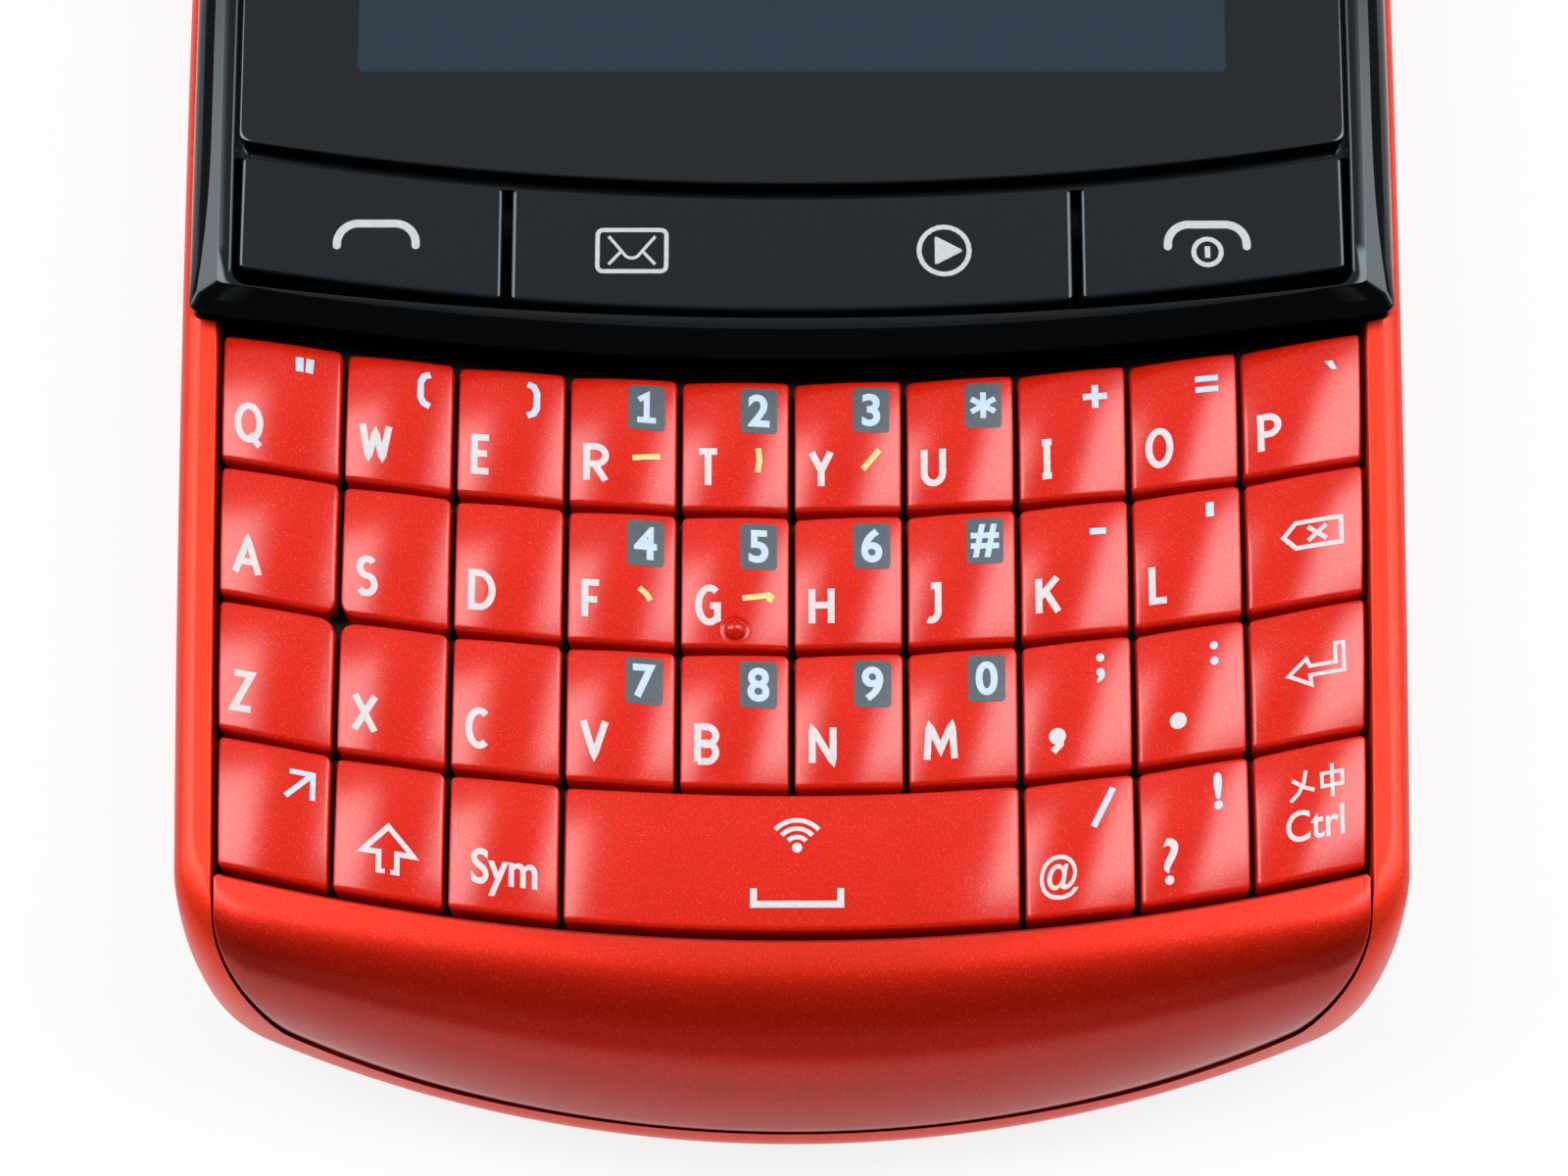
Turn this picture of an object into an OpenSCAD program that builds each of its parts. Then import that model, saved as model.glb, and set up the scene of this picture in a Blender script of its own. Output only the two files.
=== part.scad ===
// Bar phone with a touch screen and a full letter keyboard, lying on its back.
// X runs across the phone, Y from the keyboard end to the earpiece end, Z up out of the screen.
// The origin is under the middle of the phone, on the surface it lies on. Millimetres.

/* [Body] */
// Length from the keyboard end to the earpiece end
body_l = 116.5; // [115.5:0.5:124]
// Width at the widest place, halfway along
body_w = 55.7; // [55:0.1:60]
// Thickness from the back to the top of the bezel
body_t = 13.9; // [13.5:0.1:15.5]
// Radius of the slight bow of each long side
side_r = 1500; // [900:50:4000]
// Radius of the keyboard end in plan
end_r = 61; // [58:1:90]
// Radius of the earpiece end in plan
top_r = 110; // [90:1:200]
// Radius of the two corners at the earpiece end in plan
corner_r = 8.5; // [8:0.1:10]
// Radius of the two corners at the keyboard end in plan
low_corner_r = 5.7; // [5.5:0.1:8]
// Height at which the body is widest
waist_z = 4.4; // [4.1:0.1:5.2]
// How far the back edge rolls in, measured along the back
back_roll = 4; // [3:0.1:4.6]
// How far up the sides the back edge rolls
back_rise = 4; // [3.4:0.1:4.1]
// How far the keyboard end rolls in at the front
chin_roll = 6.9; // [5.5:0.1:7]
// How far the keyboard end leans in for each millimetre above the waist
chin_lean = 0.27; // [0.15:0.01:0.35]
// How much the keyboard end's radius grows for each millimetre that it rolls in
end_flatten = 11; // [6:0.5:12]
// How much its corners tighten for each millimetre that it rolls in
corner_tighten = 0.3; // [0.1:0.05:0.3]
// How far the earpiece end rolls in at the front
top_roll = 1.2; // [0.8:0.1:1.5]
// Width of the round on the outer edge of each rail
rail_round = 1; // [0.6:0.1:1.4]
// Height of that round
rail_round_h = 1.2; // [0.8:0.1:2]
// Width of each rail beside the keyboard
rail_w = 1.75; // [1.6:0.05:2.2]
// Width of the rim seen round the chin cover
rim_w = 0.45; // [0.4:0.05:0.8]
// Thickness of the shells' walls
wall = 1.2; // [1:0.1:1.4]

/* [Keyboard] */
// Distance from the body's side to the ten even key columns
key_margin = 2.65; // [2.4:0.05:3]
// Distance between key rows
row_pitch = 6.38; // [6.1:0.02:6.5]
// Radius of the curve along the top of the first row
row_r = 140; // [125:1:200]
// How much that radius shrinks from row to row
row_r_step = 8; // [4:0.5:10]
// Gap between neighbouring keycaps
key_gap = 0.24; // [0.2:0.02:0.4]
// Height of the keycaps' crests above the rails
key_proud = 0.2; // [0:0.05:0.5]
// Height of the crown across each keycap
key_crown = 0.3; // [0.15:0.05:0.5]
// How far a key goes down
key_travel = 0.3; // [0.2:0.05:0.4]
// Length of the chin, from the keyboard to the end
chin_len = 7.58; // [7.4:0.02:8.6]
// Radius of the sound hole between four keys
mic_r = 0.45; // [0.3:0.05:0.7]

/* [Front] */
// Height of the bezel above its seat
bezel_h = 2.25; // [2:0.05:2.6]
// How far the seat lies below the rails
bezel_sink = 0.35; // [0.2:0.05:0.5]
// Distance from the body's edge to the foot of the bezel
bezel_in = 0.5; // [0.4:0.05:0.7]
// Distance from the body's edge to the opening in the bezel
opening_in = 2.55; // [2.4:0.05:2.9]
// Gap between the bezel and the first row of keys
bezel_gap = 0.55; // [0.4:0.05:0.8]
// Run of the slope down to the keys
bezel_slope = 1.25; // [1:0.05:1.5]
// Width of the bar below the navigation keys
nav_bar = 0.75; // [0.6:0.05:1.1]
// Radius of the curve along the navigation keys
nav_r = 150; // [130:1:220]
// Length of the navigation keys along the phone
nav_l = 5.45; // [5:0.05:5.8]
// Width of each outer navigation key
call_w = 11.89; // [10.5:0.01:13]
// Thickness of the navigation keys' caps
nav_cap_t = 1.2; // [1:0.05:1.3]
// Gap between navigation keys
nav_gap = 0.4; // [0.35:0.05:0.5]
// Space between the glass and the navigation keys
glass_gap = 0.65; // [0.6:0.05:0.9]
// Thickness of the touch glass
glass_t = 0.9; // [0.7:0.05:1.1]
// How far the glass lies below the top of the bezel
glass_sink = 0.3; // [0.2:0.05:0.45]
// Width of the bezel bar above the glass
top_bar = 3.2; // [2.8:0.1:4]
// Width of the ledge that carries the glass
ledge_w = 2; // [1.6:0.1:2.3]
// Distance from the body's side to the visible picture
picture_side = 8.05; // [7.7:0.05:10]
// Distance from the earpiece end to the visible picture
picture_top = 16.15; // [15.8:0.05:20]
// Distance from the glass edge to the picture
picture_in = 5.5; // [5:0.1:6]
// Border of the display module round the picture
display_rim = 1.4; // [1:0.1:1.5]
// Thickness of the display module
display_t = 2.1; // [1.7:0.1:2.3]

/* [Inside] */
// Thickness of the battery cover
cover_t = 0.9; // [0.7:0.1:1.1]
// Room beside the housing for the cover to slide over its bowed sides
cover_room = 0.55; // [0.5:0.05:0.7]
// Height of the battery cover's edge
cover_lip = 3.2; // [2.6:0.1:3.5]
// Distance from the earpiece end to the cover's joint line
cover_in = 24; // [22:0.5:28]
// Battery width
battery_w = 37; // [34:0.5:37.5]
// Battery length
battery_l = 46; // [42:0.5:48]
// Battery thickness
battery_t = 5; // [4.6:0.1:5.3]
// Distance from the cover's joint line to the battery
battery_in = 19; // [17:0.5:21]
// Room under the circuit board for what is soldered there
under_board = 1; // [0.8:0.1:1.2]
// Thickness of the circuit board
board_t = 0.8; // [0.6:0.1:1]
// Height of a switch dome
dome_h = 0.3; // [0.2:0.05:0.4]
// Thickness of the silicone mat
mat_t = 0.4; // [0.3:0.05:0.5]
// Height of the mat's plungers
plunger_h = 0.35; // [0.25:0.05:0.45]
// Radius of a screw's thread
screw_r = 0.7; // [0.6:0.05:0.8]
// Radius of a screw's head
screw_head_r = 1.3; // [1.1:0.05:1.4]
// Height of a screw's head
screw_head_h = 0.9; // [0.7:0.05:1]
// Length of a screw's thread above the board
screw_grip = 1.4; // [1:0.1:1.6]
// How deep a screw's head lies in the housing
screw_sink = 0.45; // [0.4:0.05:0.6]
// Room between pieces that are fitted together
fit = 0.12; // [0.1:0.01:0.16]

/* [Sockets and side keys] */
// Radius of the audio jack's bore
jack_r = 1.8; // [1.75:0.01:1.85]
// Depth of that bore
jack_l = 13; // [12:0.5:14]
// Width of the jack's body
jack_w = 6.2; // [5.8:0.1:6.4]
// Height of the jack's body
jack_h = 5.1; // [5:0.05:5.3]
// Distance of the jack from the middle
jack_x = 14; // [12.5:0.5:15]
// Radius of the charger socket's bore
charger_r = 1.05; // [1:0.01:1.2]
// Depth of that bore
charger_l = 6; // [5:0.5:7]
// Width of the charger socket's body
charger_w = 4.8; // [4.4:0.1:5]
// Height of the charger socket's body
charger_h = 4.2; // [4:0.05:4.4]
// Distance of the charger socket from the middle
charger_x = 14; // [12:0.5:16]
// Width of the data socket's mouth
usb_w = 7; // [6.8:0.1:7.4]
// Height of that mouth
usb_h = 1.9; // [1.8:0.05:2]
// Length of the data socket
usb_l = 5.4; // [5:0.1:5.8]
// Radius of the camera window
camera_r = 4.2; // [3.8:0.1:4.6]
// Distance of the camera from the earpiece end
camera_in = 15.5; // [15:0.5:17]
// Width of the camera's body
camera_w = 8.4; // [7.6:0.1:9]
// Width of the loudspeaker
speaker_w = 14; // [12:0.5:15]
// Length of the loudspeaker
speaker_l = 10; // [8:0.5:11]
// Thickness of the loudspeaker
speaker_t = 3.2; // [2.6:0.1:3.6]
// Distance of the loudspeaker's middle from the body's side
speaker_side = 13.35; // [12.85:0.05:14.35]
// Distance of the loudspeaker from the earpiece end
speaker_in = 16.5; // [15.5:0.5:17.5]
// Width of the earpiece
ear_w = 12; // [11:0.5:13]
// Length of the earpiece along the phone
ear_l = 5; // [4:0.1:5.4]
// Distance of the earpiece from the earpiece end
ear_in = 9; // [8.6:0.1:9.4]
// Distance of the volume rocker from the middle of the phone
volume_y = 26; // [22:0.5:28]
// Length of the volume rocker
volume_l = 16; // [13:0.5:18]
// Length of the lock key
lock_l = 6; // [5:0.5:7]
// Height of the side keys
side_key_h = 2.6; // [2:0.1:2.8]
// How far the side keys stand out of the body
side_proud = 0.2; // [0.1:0.05:0.2]
// How far the lock key goes in
lock_travel = 0.25; // [0.2:0.05:0.3]

/* [Hidden] */
eps = 0.01;
low_end = -body_l / 2;
top_end = body_l / 2;

// Heights of the front
bezel_z = body_t - bezel_h;
deck_z = bezel_z + bezel_sink;
glass_z = body_t - glass_sink - glass_t;
display_z = glass_z - fit / 2 - display_t;

// Heights of the stack inside
back_z = cover_t + fit;
floor_z = back_z + wall;
chin_floor_z = waist_z - 0.2;
well_z = back_z + battery_t + fit;
well_top_z = well_z + 0.8;
board_z = well_top_z + under_board;
board_top_z = board_z + board_t;
dome_sheet_t = 0.12;
dome_top_z = board_top_z + dome_sheet_t + dome_h;
mat_z = dome_top_z + 0.05 + plunger_h;
mat_top_z = mat_z + mat_t;
key_rest_gap = key_travel + 0.1;
key_under_z = mat_top_z + key_rest_gap;
key_top_z = deck_z + key_proud;

// Places along the phone, up from the keyboard end
kb_low = low_end + chin_len;
col_pitch = (body_w - 2 * key_margin) / 10;
bezel_low = row_y(0) + bezel_gap;
bezel_crest = bezel_low + bezel_slope;
opening_low = bezel_crest + nav_bar;
nav_low = opening_low + fit * 1.5;
nav_top = nav_low + nav_l;
glass_low = nav_top + glass_gap;
picture_low = glass_low + picture_in;
picture_w = body_w - 2 * picture_side;
picture_l = top_end - picture_top - picture_low;
window_low = glass_low + 1.2;
mat_end = nav_top + 1.2;
cover_end = top_end - cover_in;
battery_end = cover_end - battery_in;
well_y = battery_end - battery_l / 2;

// Half the width of the navigation strip, and the split of its three keys
nav_half = body_w / 2 - opening_in - fit * 3;
menu_half = nav_half - nav_gap - call_w;
call_stem = nav_half - call_w / 2;
menu_stem = menu_half * 0.6;
nav_stem_r = 1.5;
nav_cap_z = glass_z + glass_t - nav_cap_t;

// Screw places: two pairs under the bezel, one pair under the chin
boss_r = screw_r + 0.9;
bezel_screws = [[body_w / 2 - 4.65, window_low + 3], [body_w / 2 - 6.35, top_end - 8.75]];
chin_screw_x = 12;
chin_screw = [chin_screw_x, row_edge(4, chin_screw_x) - boss_r - 0.5];
screw_z = back_z + screw_sink;
screw_tip_z = board_top_z + screw_grip;

// Sockets hang under the board
jack_z = board_z - jack_h / 2;
charger_z = board_z - charger_h / 2;
usb_wall = 0.35;
usb_z = board_z - usb_h / 2 - usb_wall;
usb_x = -3;
socket_wall = 0.75;

// Side keys
side_key_z = board_z - 0.5 - side_key_h / 2 - 0.4;
lock_y = volume_y + volume_l / 2 + lock_l / 2 + 3;
volume_x = side_x(volume_y);
lock_x = side_x(lock_y);
flange = 0.35;
hollow_z = side_key_z - side_key_h / 2 - flange - 2 * fit;

// The loudspeaker with its slots, and the earpiece with its slot
speaker_x = body_w / 2 - speaker_side;
speaker_y = top_end - speaker_in;
slot_l = speaker_w / 2;
slot_w = 0.8;
ear_y = top_end - ear_in;
ear_slot_w = ear_w * 0.75;
ear_slot_h = 1.1;

// Keys, row by row; the last row has a wide key in the middle
ROWS = [
    ["q", "w", "e", "r", "t", "y", "u", "i", "o", "p"],
    ["a", "s", "d", "f", "g", "h", "j", "k", "l", "backspace"],
    ["z", "x", "c", "v", "b", "n", "m", "comma", "period", "enter"],
    ["fn", "shift", "sym", "space", "at", "question", "ctrl"]
];
LAST_ROW_EDGES = [0, 1, 2, 3, 7, 8, 9, 10];
function key_edge(r, i) = r < 3 ? i : LAST_ROW_EDGES[i];
KEYS = [for (r = [0:3]) for (i = [0:len(ROWS[r]) - 1])
    [str("key_", ROWS[r][i]), r, key_edge(r, i), key_edge(r, i + 1)]];

// Row curves: boundary i lies above row i + 1 and below row i
function row_y(i) = kb_low + key_gap / 2 + (4 - i) * row_pitch;
function row_radius(i) = row_r - row_r_step * i;
function row_edge(i, x) = row_y(i) + row_radius(i) - sqrt(pow(row_radius(i), 2) - x * x);
function side_x(y, inset = 0) = body_w / 2 - side_r + sqrt(pow(side_r - inset, 2) - y * y);
function top_y(x, inset = 0) = top_end - top_r + sqrt(pow(top_r - inset, 2) - x * x);
// Where a socket's body stops, inside the end wall
function socket_front(x) = top_y(x, rail_w + 1) - fit;
function col_x(c) = c == 0 ? -body_w / 2 : c == 10 ? body_w / 2 : (c - 5) * col_pitch;

// The middle of a key, and the width of its cap
function key_x0(k) = k[2] == 0 ? -side_x(row_y(k[1] + 1), rail_w + key_gap) : col_x(k[2]) + key_gap / 2;
function key_x1(k) = k[3] == 10 ? side_x(row_y(k[1] + 1), rail_w + key_gap) : col_x(k[3]) - key_gap / 2;
function key_x(k) = (key_x0(k) + key_x1(k)) / 2;
function key_y(k) = (row_edge(k[1], key_x(k)) + row_edge(k[1] + 1, key_x(k))) / 2;
press_points = concat([for (k = KEYS) [key_x(k), key_y(k)]],
    [for (x = [-call_stem, -menu_stem, menu_stem, call_stem])
        [x, (nav_low + nav_top) / 2 + x * x / (2 * nav_r)]]);

// Plan outlines. Each is a ring of arcs that touch: the keyboard end, a corner, the bowed side,
// a corner and the earpiece end, then the same mirrored.
function arc(c, r, a0, a1, n) =
    [for (i = [0:n - 1]) let (a = a0 + (a1 - a0) * i / n) c + r * [cos(a), sin(a)]];
function heading(v) = atan2(v.y, v.x);
// The point at distance r1 from c1 and r2 from c2, on the side that turn picks
function meet(c1, r1, c2, r2, turn) =
    let (d = c2 - c1, l = norm(d), u = d / l, a = (r1 * r1 - r2 * r2 + l * l) / (2 * l))
    c1 + a * u + turn * sqrt(r1 * r1 - a * a) * [-u.y, u.x];
function half_ring(side_in, low_y, low_r, low_c, top_in, top_c) =
    let (cs = [body_w / 2 - side_r, 0], rs = side_r - side_in,
         cl = [0, low_y + low_r], ct = [0, top_end - top_r], rt = top_r - top_in,
         pl = meet(cl, low_r - low_c, cs, rs - low_c, 1),
         pt = meet(ct, rt - top_c, cs, rs - top_c, -1),
         al = heading(pl - cl), at = heading(pt - ct), sl = heading(pl - cs), st = heading(pt - cs))
    concat(arc(cl, low_r, -90, al, 5), arc(pl, low_c, al, sl, 6), arc(cs, rs, sl, st, 4),
        arc(pt, top_c, st, at, 6), arc(ct, rt, at, 90, 3), [[0, ct.y + rt]]);
function ring(side_in, low_y, low_r, low_c, top_in, top_c) =
    let (h = half_ring(side_in, low_y, low_r, low_c, top_in, top_c))
    concat(h, [for (i = [len(h) - 2:-1:1]) [-h[i].x, h[i].y]]);

// A solid through rings that all have as many points, from the lowest height to the highest
module loft(rings, heights) {
    n = len(rings[0]);
    m = len(rings);
    points = [for (k = [0:m - 1]) for (p = rings[k]) [p.x, p.y, heights[k]]];
    sides = [for (k = [0:m - 2]) for (i = [0:n - 1])
        let (a = k * n + i, b = k * n + (i + 1) % n, c = a + n, d = b + n) each [[a, c, d], [a, d, b]]];
    foot = [for (i = [0:n - 1]) i];
    lid = [for (i = [n - 1:-1:0]) (m - 1) * n + i];
    polyhedron(points, concat([foot], sides, [lid]));
}

// How far an edge that rolls over the width w and the height h has drawn in, at a distance t from its end
function roll(w, h, t) = t >= h ? 0 : w * (1 - sqrt(1 - pow(1 - t / h, 2)));
function side_roll(z) = roll(rail_round, rail_round_h, deck_z - z) + roll(back_roll, back_rise, z);
function chin_draw(z) = norm([roll(chin_roll, deck_z - waist_z, deck_z - z), chin_lean * max(0, z - waist_z)]);
function low_roll(z) = chin_draw(z) + roll(back_roll + 1, back_rise, z);
function low_radius(z) = end_r + end_flatten * chin_draw(z) - roll(back_roll + 1, back_rise, z);
function low_corner(z) = low_corner_r - corner_tighten * chin_draw(z);
function end_roll(z) = roll(top_roll, deck_z - waist_z, deck_z - z) + roll(back_roll, back_rise, z);
body_heights = concat([for (t = [0:18:90]) back_rise * (1 - cos(t))],
    [for (t = [0, 20, 40, 55, 65, 75, 83, 90]) waist_z + (deck_z - waist_z) * sin(t)]);

// The outer form of the phone below the bezel, drawn in by skin all round,
// and by other depths at the back and the front
module body_form(skin = 0, back_skin = 0, top_skin = 0) {
    rings = [for (z = body_heights)
        ring(side_roll(z) + skin, low_end + low_roll(z) + skin, low_radius(z) - skin, low_corner(z) - skin,
            end_roll(z) + skin, corner_r - skin)];
    loft(rings, [for (z = body_heights) back_skin + z / deck_z * (deck_z - back_skin - top_skin)]);
}

// Outline of the hollow above the chin's floor: rails, rim and end wall stay round it
module pocket(extra = 0) {
    polygon(ring(rail_w + extra, low_end + rim_w + extra, end_r - rim_w - extra, low_corner_r - 1,
        rail_w + extra, corner_r - 1.5));
}

// Outline of a plate inside the pocket whose lower edge follows the last key row
module inner_plate(extra, low_y, top_in) {
    polygon(ring(rail_w + extra, low_y, row_radius(4), 2, top_in, corner_r - 3));
}

// Everything above a smiling curve through (0, y)
module above_curve(y, r, z, h) {
    translate([0, y + r, z]) cylinder(r = r, h = h, $fn = 360);
}

module both_sides() {
    children();
    mirror([1, 0, 0]) children();
}

module at_bezel_screws() {
    both_sides() for (p = bezel_screws) translate(p) children();
}

module at_chin_screws() {
    both_sides() translate(chin_screw) children();
}

module cover_zone(extra) {
    translate([-body_w, low_end - 5, -5])
        cube([2 * body_w, cover_end + extra - low_end + 5, cover_lip + extra + 5]);
}

module rear_housing() {
    color("#b0121f") difference() {
        union() {
            difference() {
                body_form();
                difference() {
                    cover_zone(fit);
                    body_form(cover_t + cover_room, back_z);
                }
                above_curve(bezel_low - fit, row_radius(0), bezel_z, 5);
                translate([0, 0, hollow_z]) linear_extrude(10) intersection() {
                    pocket();
                    translate([-body_w, kb_low]) square(2 * body_w);
                }
                translate([0, 0, chin_floor_z]) linear_extrude(10) intersection() {
                    pocket();
                    translate([-body_w, low_end - 1]) square([2 * body_w, chin_len + 6]);
                }
                translate([0, 0, floor_z]) linear_extrude(10)
                    inner_plate(1, kb_low + 1.5, rail_w + 1);
            }
            translate([-battery_w / 2 - 1.2, well_y - battery_l / 2 - 1.2, back_z])
                cube([battery_w + 2.4, battery_l + 2.4, well_top_z - back_z]);
            at_bezel_screws() translate([0, 0, floor_z - 0.2])
                cylinder(r = boss_r, h = board_z - floor_z + 0.2, $fn = 48);
        }
        translate([-battery_w / 2 - fit, well_y - battery_l / 2 - fit, -1])
            cube([battery_w + 2 * fit, battery_l + 2 * fit, well_z + 1]);
        at_bezel_screws() screw_hole();
        at_chin_screws() screw_hole();
        translate([0, top_end - camera_in, -1]) cylinder(r = camera_r + fit, h = 1 + back_z, $fn = 64);
        translate([0, top_end - camera_in, -1]) cylinder(r = camera_r - 1.2, h = 8, $fn = 64);
        for (i = [-2:2]) translate([-speaker_x - slot_l / 2, speaker_y + (2 * i - 0.5) * slot_w, -1])
            cube([slot_l, slot_w, 6]);
        translate([jack_x, top_end - 8, jack_z]) rotate([-90, 0, 0])
            cylinder(r = jack_r + socket_wall + fit, h = 20, $fn = 64);
        translate([-charger_x, top_end - 8, charger_z]) rotate([-90, 0, 0])
            cylinder(r = charger_r + socket_wall + fit, h = 20, $fn = 64);
        translate([usb_x - usb_w / 2 - usb_wall - fit, top_end - 8, usb_z - usb_h / 2 - usb_wall - fit])
            cube([usb_w + 2 * (usb_wall + fit), 20, usb_h + 2 * (usb_wall + fit)]);
        side_slot(volume_y, volume_l);
        side_slot(lock_y, lock_l);
    }
}

module screw_hole() {
    translate([0, 0, -1]) cylinder(r = screw_r + fit, h = 20, $fn = 48);
    translate([0, 0, -1]) cylinder(r = screw_head_r + fit, h = 1 + screw_z + screw_head_h, $fn = 48);
}

module side_slot(y, l) {
    translate([body_w / 2 - 4, y - l / 2 - fit, side_key_z - side_key_h / 2 - fit])
        cube([8, l + 2 * fit, side_key_h + 2 * fit]);
}

module battery_cover() {
    color("#9c1420") difference() {
        intersection() {
            body_form();
            cover_zone(0);
        }
        body_form(cover_t, cover_t);
    }
}

module battery() {
    color("#3a3d42") translate([-battery_w / 2, well_y - battery_l / 2, back_z])
        cube([battery_w, battery_l, battery_t]);
}

// The bezel's section: share of its height, distance from the body's edge, share of the slope
bezel_steps = [
    [0, bezel_in, 0],
    [0.6, bezel_in + 0.4, 0],
    [0.79, bezel_in + 0.89, 0.05],
    [1, bezel_in + 1.57, 1]
];

module front_bezel() {
    opening = ring(opening_in, opening_low, nav_r, 0.8, top_bar, corner_r - 2);
    window = ring(opening_in + ledge_w, window_low, nav_r, 1, top_bar + ledge_w, corner_r - 3);
    color("#0c0d0f") difference() {
        union() {
            difference() {
                loft([for (s = bezel_steps) ring(s[1], bezel_low + s[2] * bezel_slope, row_radius(0), 1,
                        s[1] + top_roll - 0.3, corner_r - 0.5)],
                    [for (s = bezel_steps) bezel_z + s[0] * bezel_h]);
                translate([0, 0, bezel_z - 1]) linear_extrude(5) polygon(opening);
            }
            difference() {
                intersection() {
                    translate([0, 0, bezel_z]) linear_extrude(glass_z - eps - bezel_z)
                        polygon(ring(opening_in - eps, opening_low, nav_r, 0.8, top_bar - eps, corner_r - 2));
                    above_curve(nav_top + fit * 1.5, nav_r, bezel_z - 1, 5);
                }
                translate([0, 0, bezel_z - 1]) linear_extrude(5) polygon(window);
            }
            at_bezel_screws() translate([0, 0, board_top_z])
                cylinder(r = boss_r, h = bezel_z + 0.5 - board_top_z, $fn = 48);
        }
        at_bezel_screws() translate([0, 0, 0]) cylinder(r = screw_r + 0.02, h = screw_tip_z + 0.2, $fn = 48);
    }
}

module touch_glass() {
    color("#2a2e32") difference() {
        translate([0, 0, glass_z]) linear_extrude(glass_t)
            polygon(ring(opening_in + fit, glass_low, nav_r, 0.6, top_bar + fit, corner_r - 2 - fit));
        translate([0, ear_y, glass_z - 1]) linear_extrude(4) {
            square([ear_slot_w - ear_slot_h, ear_slot_h], center = true);
            for (s = [-1, 1]) translate([s * (ear_slot_w - ear_slot_h) / 2, 0])
                circle(d = ear_slot_h, $fn = 32);
        }
    }
}

module display_module() {
    color("#323f4d") translate([-picture_w / 2 - display_rim, picture_low - display_rim, display_z])
        cube([picture_w + 2 * display_rim, picture_l + 2 * display_rim, display_t]);
}

module chin_cover() {
    color("#b51522") difference() {
        union() {
            difference() {
                intersection() {
                    body_form();
                    chin_zone();
                }
                body_form(rail_w + fit + wall / 2, wall, wall);
            }
            intersection() {
                at_chin_screws() translate([0, 0, chin_floor_z]) cylinder(r = boss_r, h = 10, $fn = 48);
                body_form(wall / 2, wall / 2, wall / 2);
            }
        }
        at_chin_screws() cylinder(r = screw_r + 0.02, h = screw_tip_z + 0.2, $fn = 48);
    }
}

module chin_zone() {
    difference() {
        translate([0, 0, chin_floor_z + fit / 2]) linear_extrude(12) intersection() {
            pocket(fit);
            translate([-body_w, low_end - 1]) square([2 * body_w, chin_len + 6]);
        }
        above_curve(row_y(4) - key_gap / 2, row_radius(4), 0, 20);
    }
}

module keypad_mat() {
    color("#16171a") {
        translate([0, 0, mat_z]) linear_extrude(mat_t) mat_outline(fit);
        translate([0, 0, board_top_z]) linear_extrude(mat_z - board_top_z) difference() {
            mat_outline(fit);
            mat_outline(fit + 0.8);
        }
        for (p = press_points) translate([p.x, p.y, mat_z - plunger_h])
            cylinder(r = 1, h = plunger_h, $fn = 32);
    }
}

module mat_outline(extra) {
    intersection() {
        inner_plate(extra, kb_low + 0.1 + extra, rail_w + 5);
        translate([-body_w, low_end]) square([2 * body_w, mat_end - extra - low_end]);
    }
}

module dome_sheet() {
    color("#c8b98a") {
        translate([0, 0, board_top_z]) linear_extrude(dome_sheet_t) mat_outline(2 * fit + 0.8);
        for (p = press_points) translate([p.x, p.y, board_top_z + dome_sheet_t])
            cylinder(r1 = 1.7, r2 = 1, h = dome_h, $fn = 32);
    }
}

module circuit_board() {
    gap_under_display = display_z - fit / 2 - board_top_z;
    can = [picture_w - 6, (picture_l - 8) / 2];
    color("#1d5a35") difference() {
        translate([0, 0, board_z]) linear_extrude(board_t) inner_plate(0.3, kb_low + 0.6, rail_w + 1.5);
        at_bezel_screws() translate([0, 0, board_z - 1]) cylinder(r = screw_r + 0.15, h = 3, $fn = 48);
    }
    color("#b9bcc0") {
        for (i = [0, 1]) translate([-can.x / 2, picture_low + 2 + i * (can.y + 4), board_top_z])
            cube([can.x, can.y, gap_under_display]);
        translate([-9, kb_low + 5, board_z - under_board]) cube([14, 10, under_board]);
        translate([9, kb_low + 5, board_z - 3]) cube([9, 4, 3]);
        translate([-20, kb_low + 12, board_z - under_board]) cube([3.5, 3, under_board]);
    }
}

module nav_key(x0, x1, stems) {
    color("#101114") {
        difference() {
            intersection() {
                translate([x0, low_end, nav_cap_z]) cube([x1 - x0, body_l, nav_cap_t]);
                above_curve(nav_low, nav_r, nav_cap_z - nav_cap_t, 3 * nav_cap_t);
            }
            above_curve(nav_top, nav_r, nav_cap_z - nav_cap_t, 3 * nav_cap_t);
        }
        for (x = stems) translate([x, (nav_low + nav_top) / 2 + x * x / (2 * nav_r), key_under_z])
            cylinder(r = nav_stem_r, h = nav_cap_z - key_under_z, $fn = 48);
    }
}

module call_key() {
    nav_key(-nav_half, -menu_half - nav_gap, [-call_stem]);
}

module menu_rocker() {
    nav_key(-menu_half, menu_half, [-menu_stem, menu_stem]);
}

module end_key() {
    nav_key(menu_half + nav_gap, nav_half, [call_stem]);
}

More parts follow.
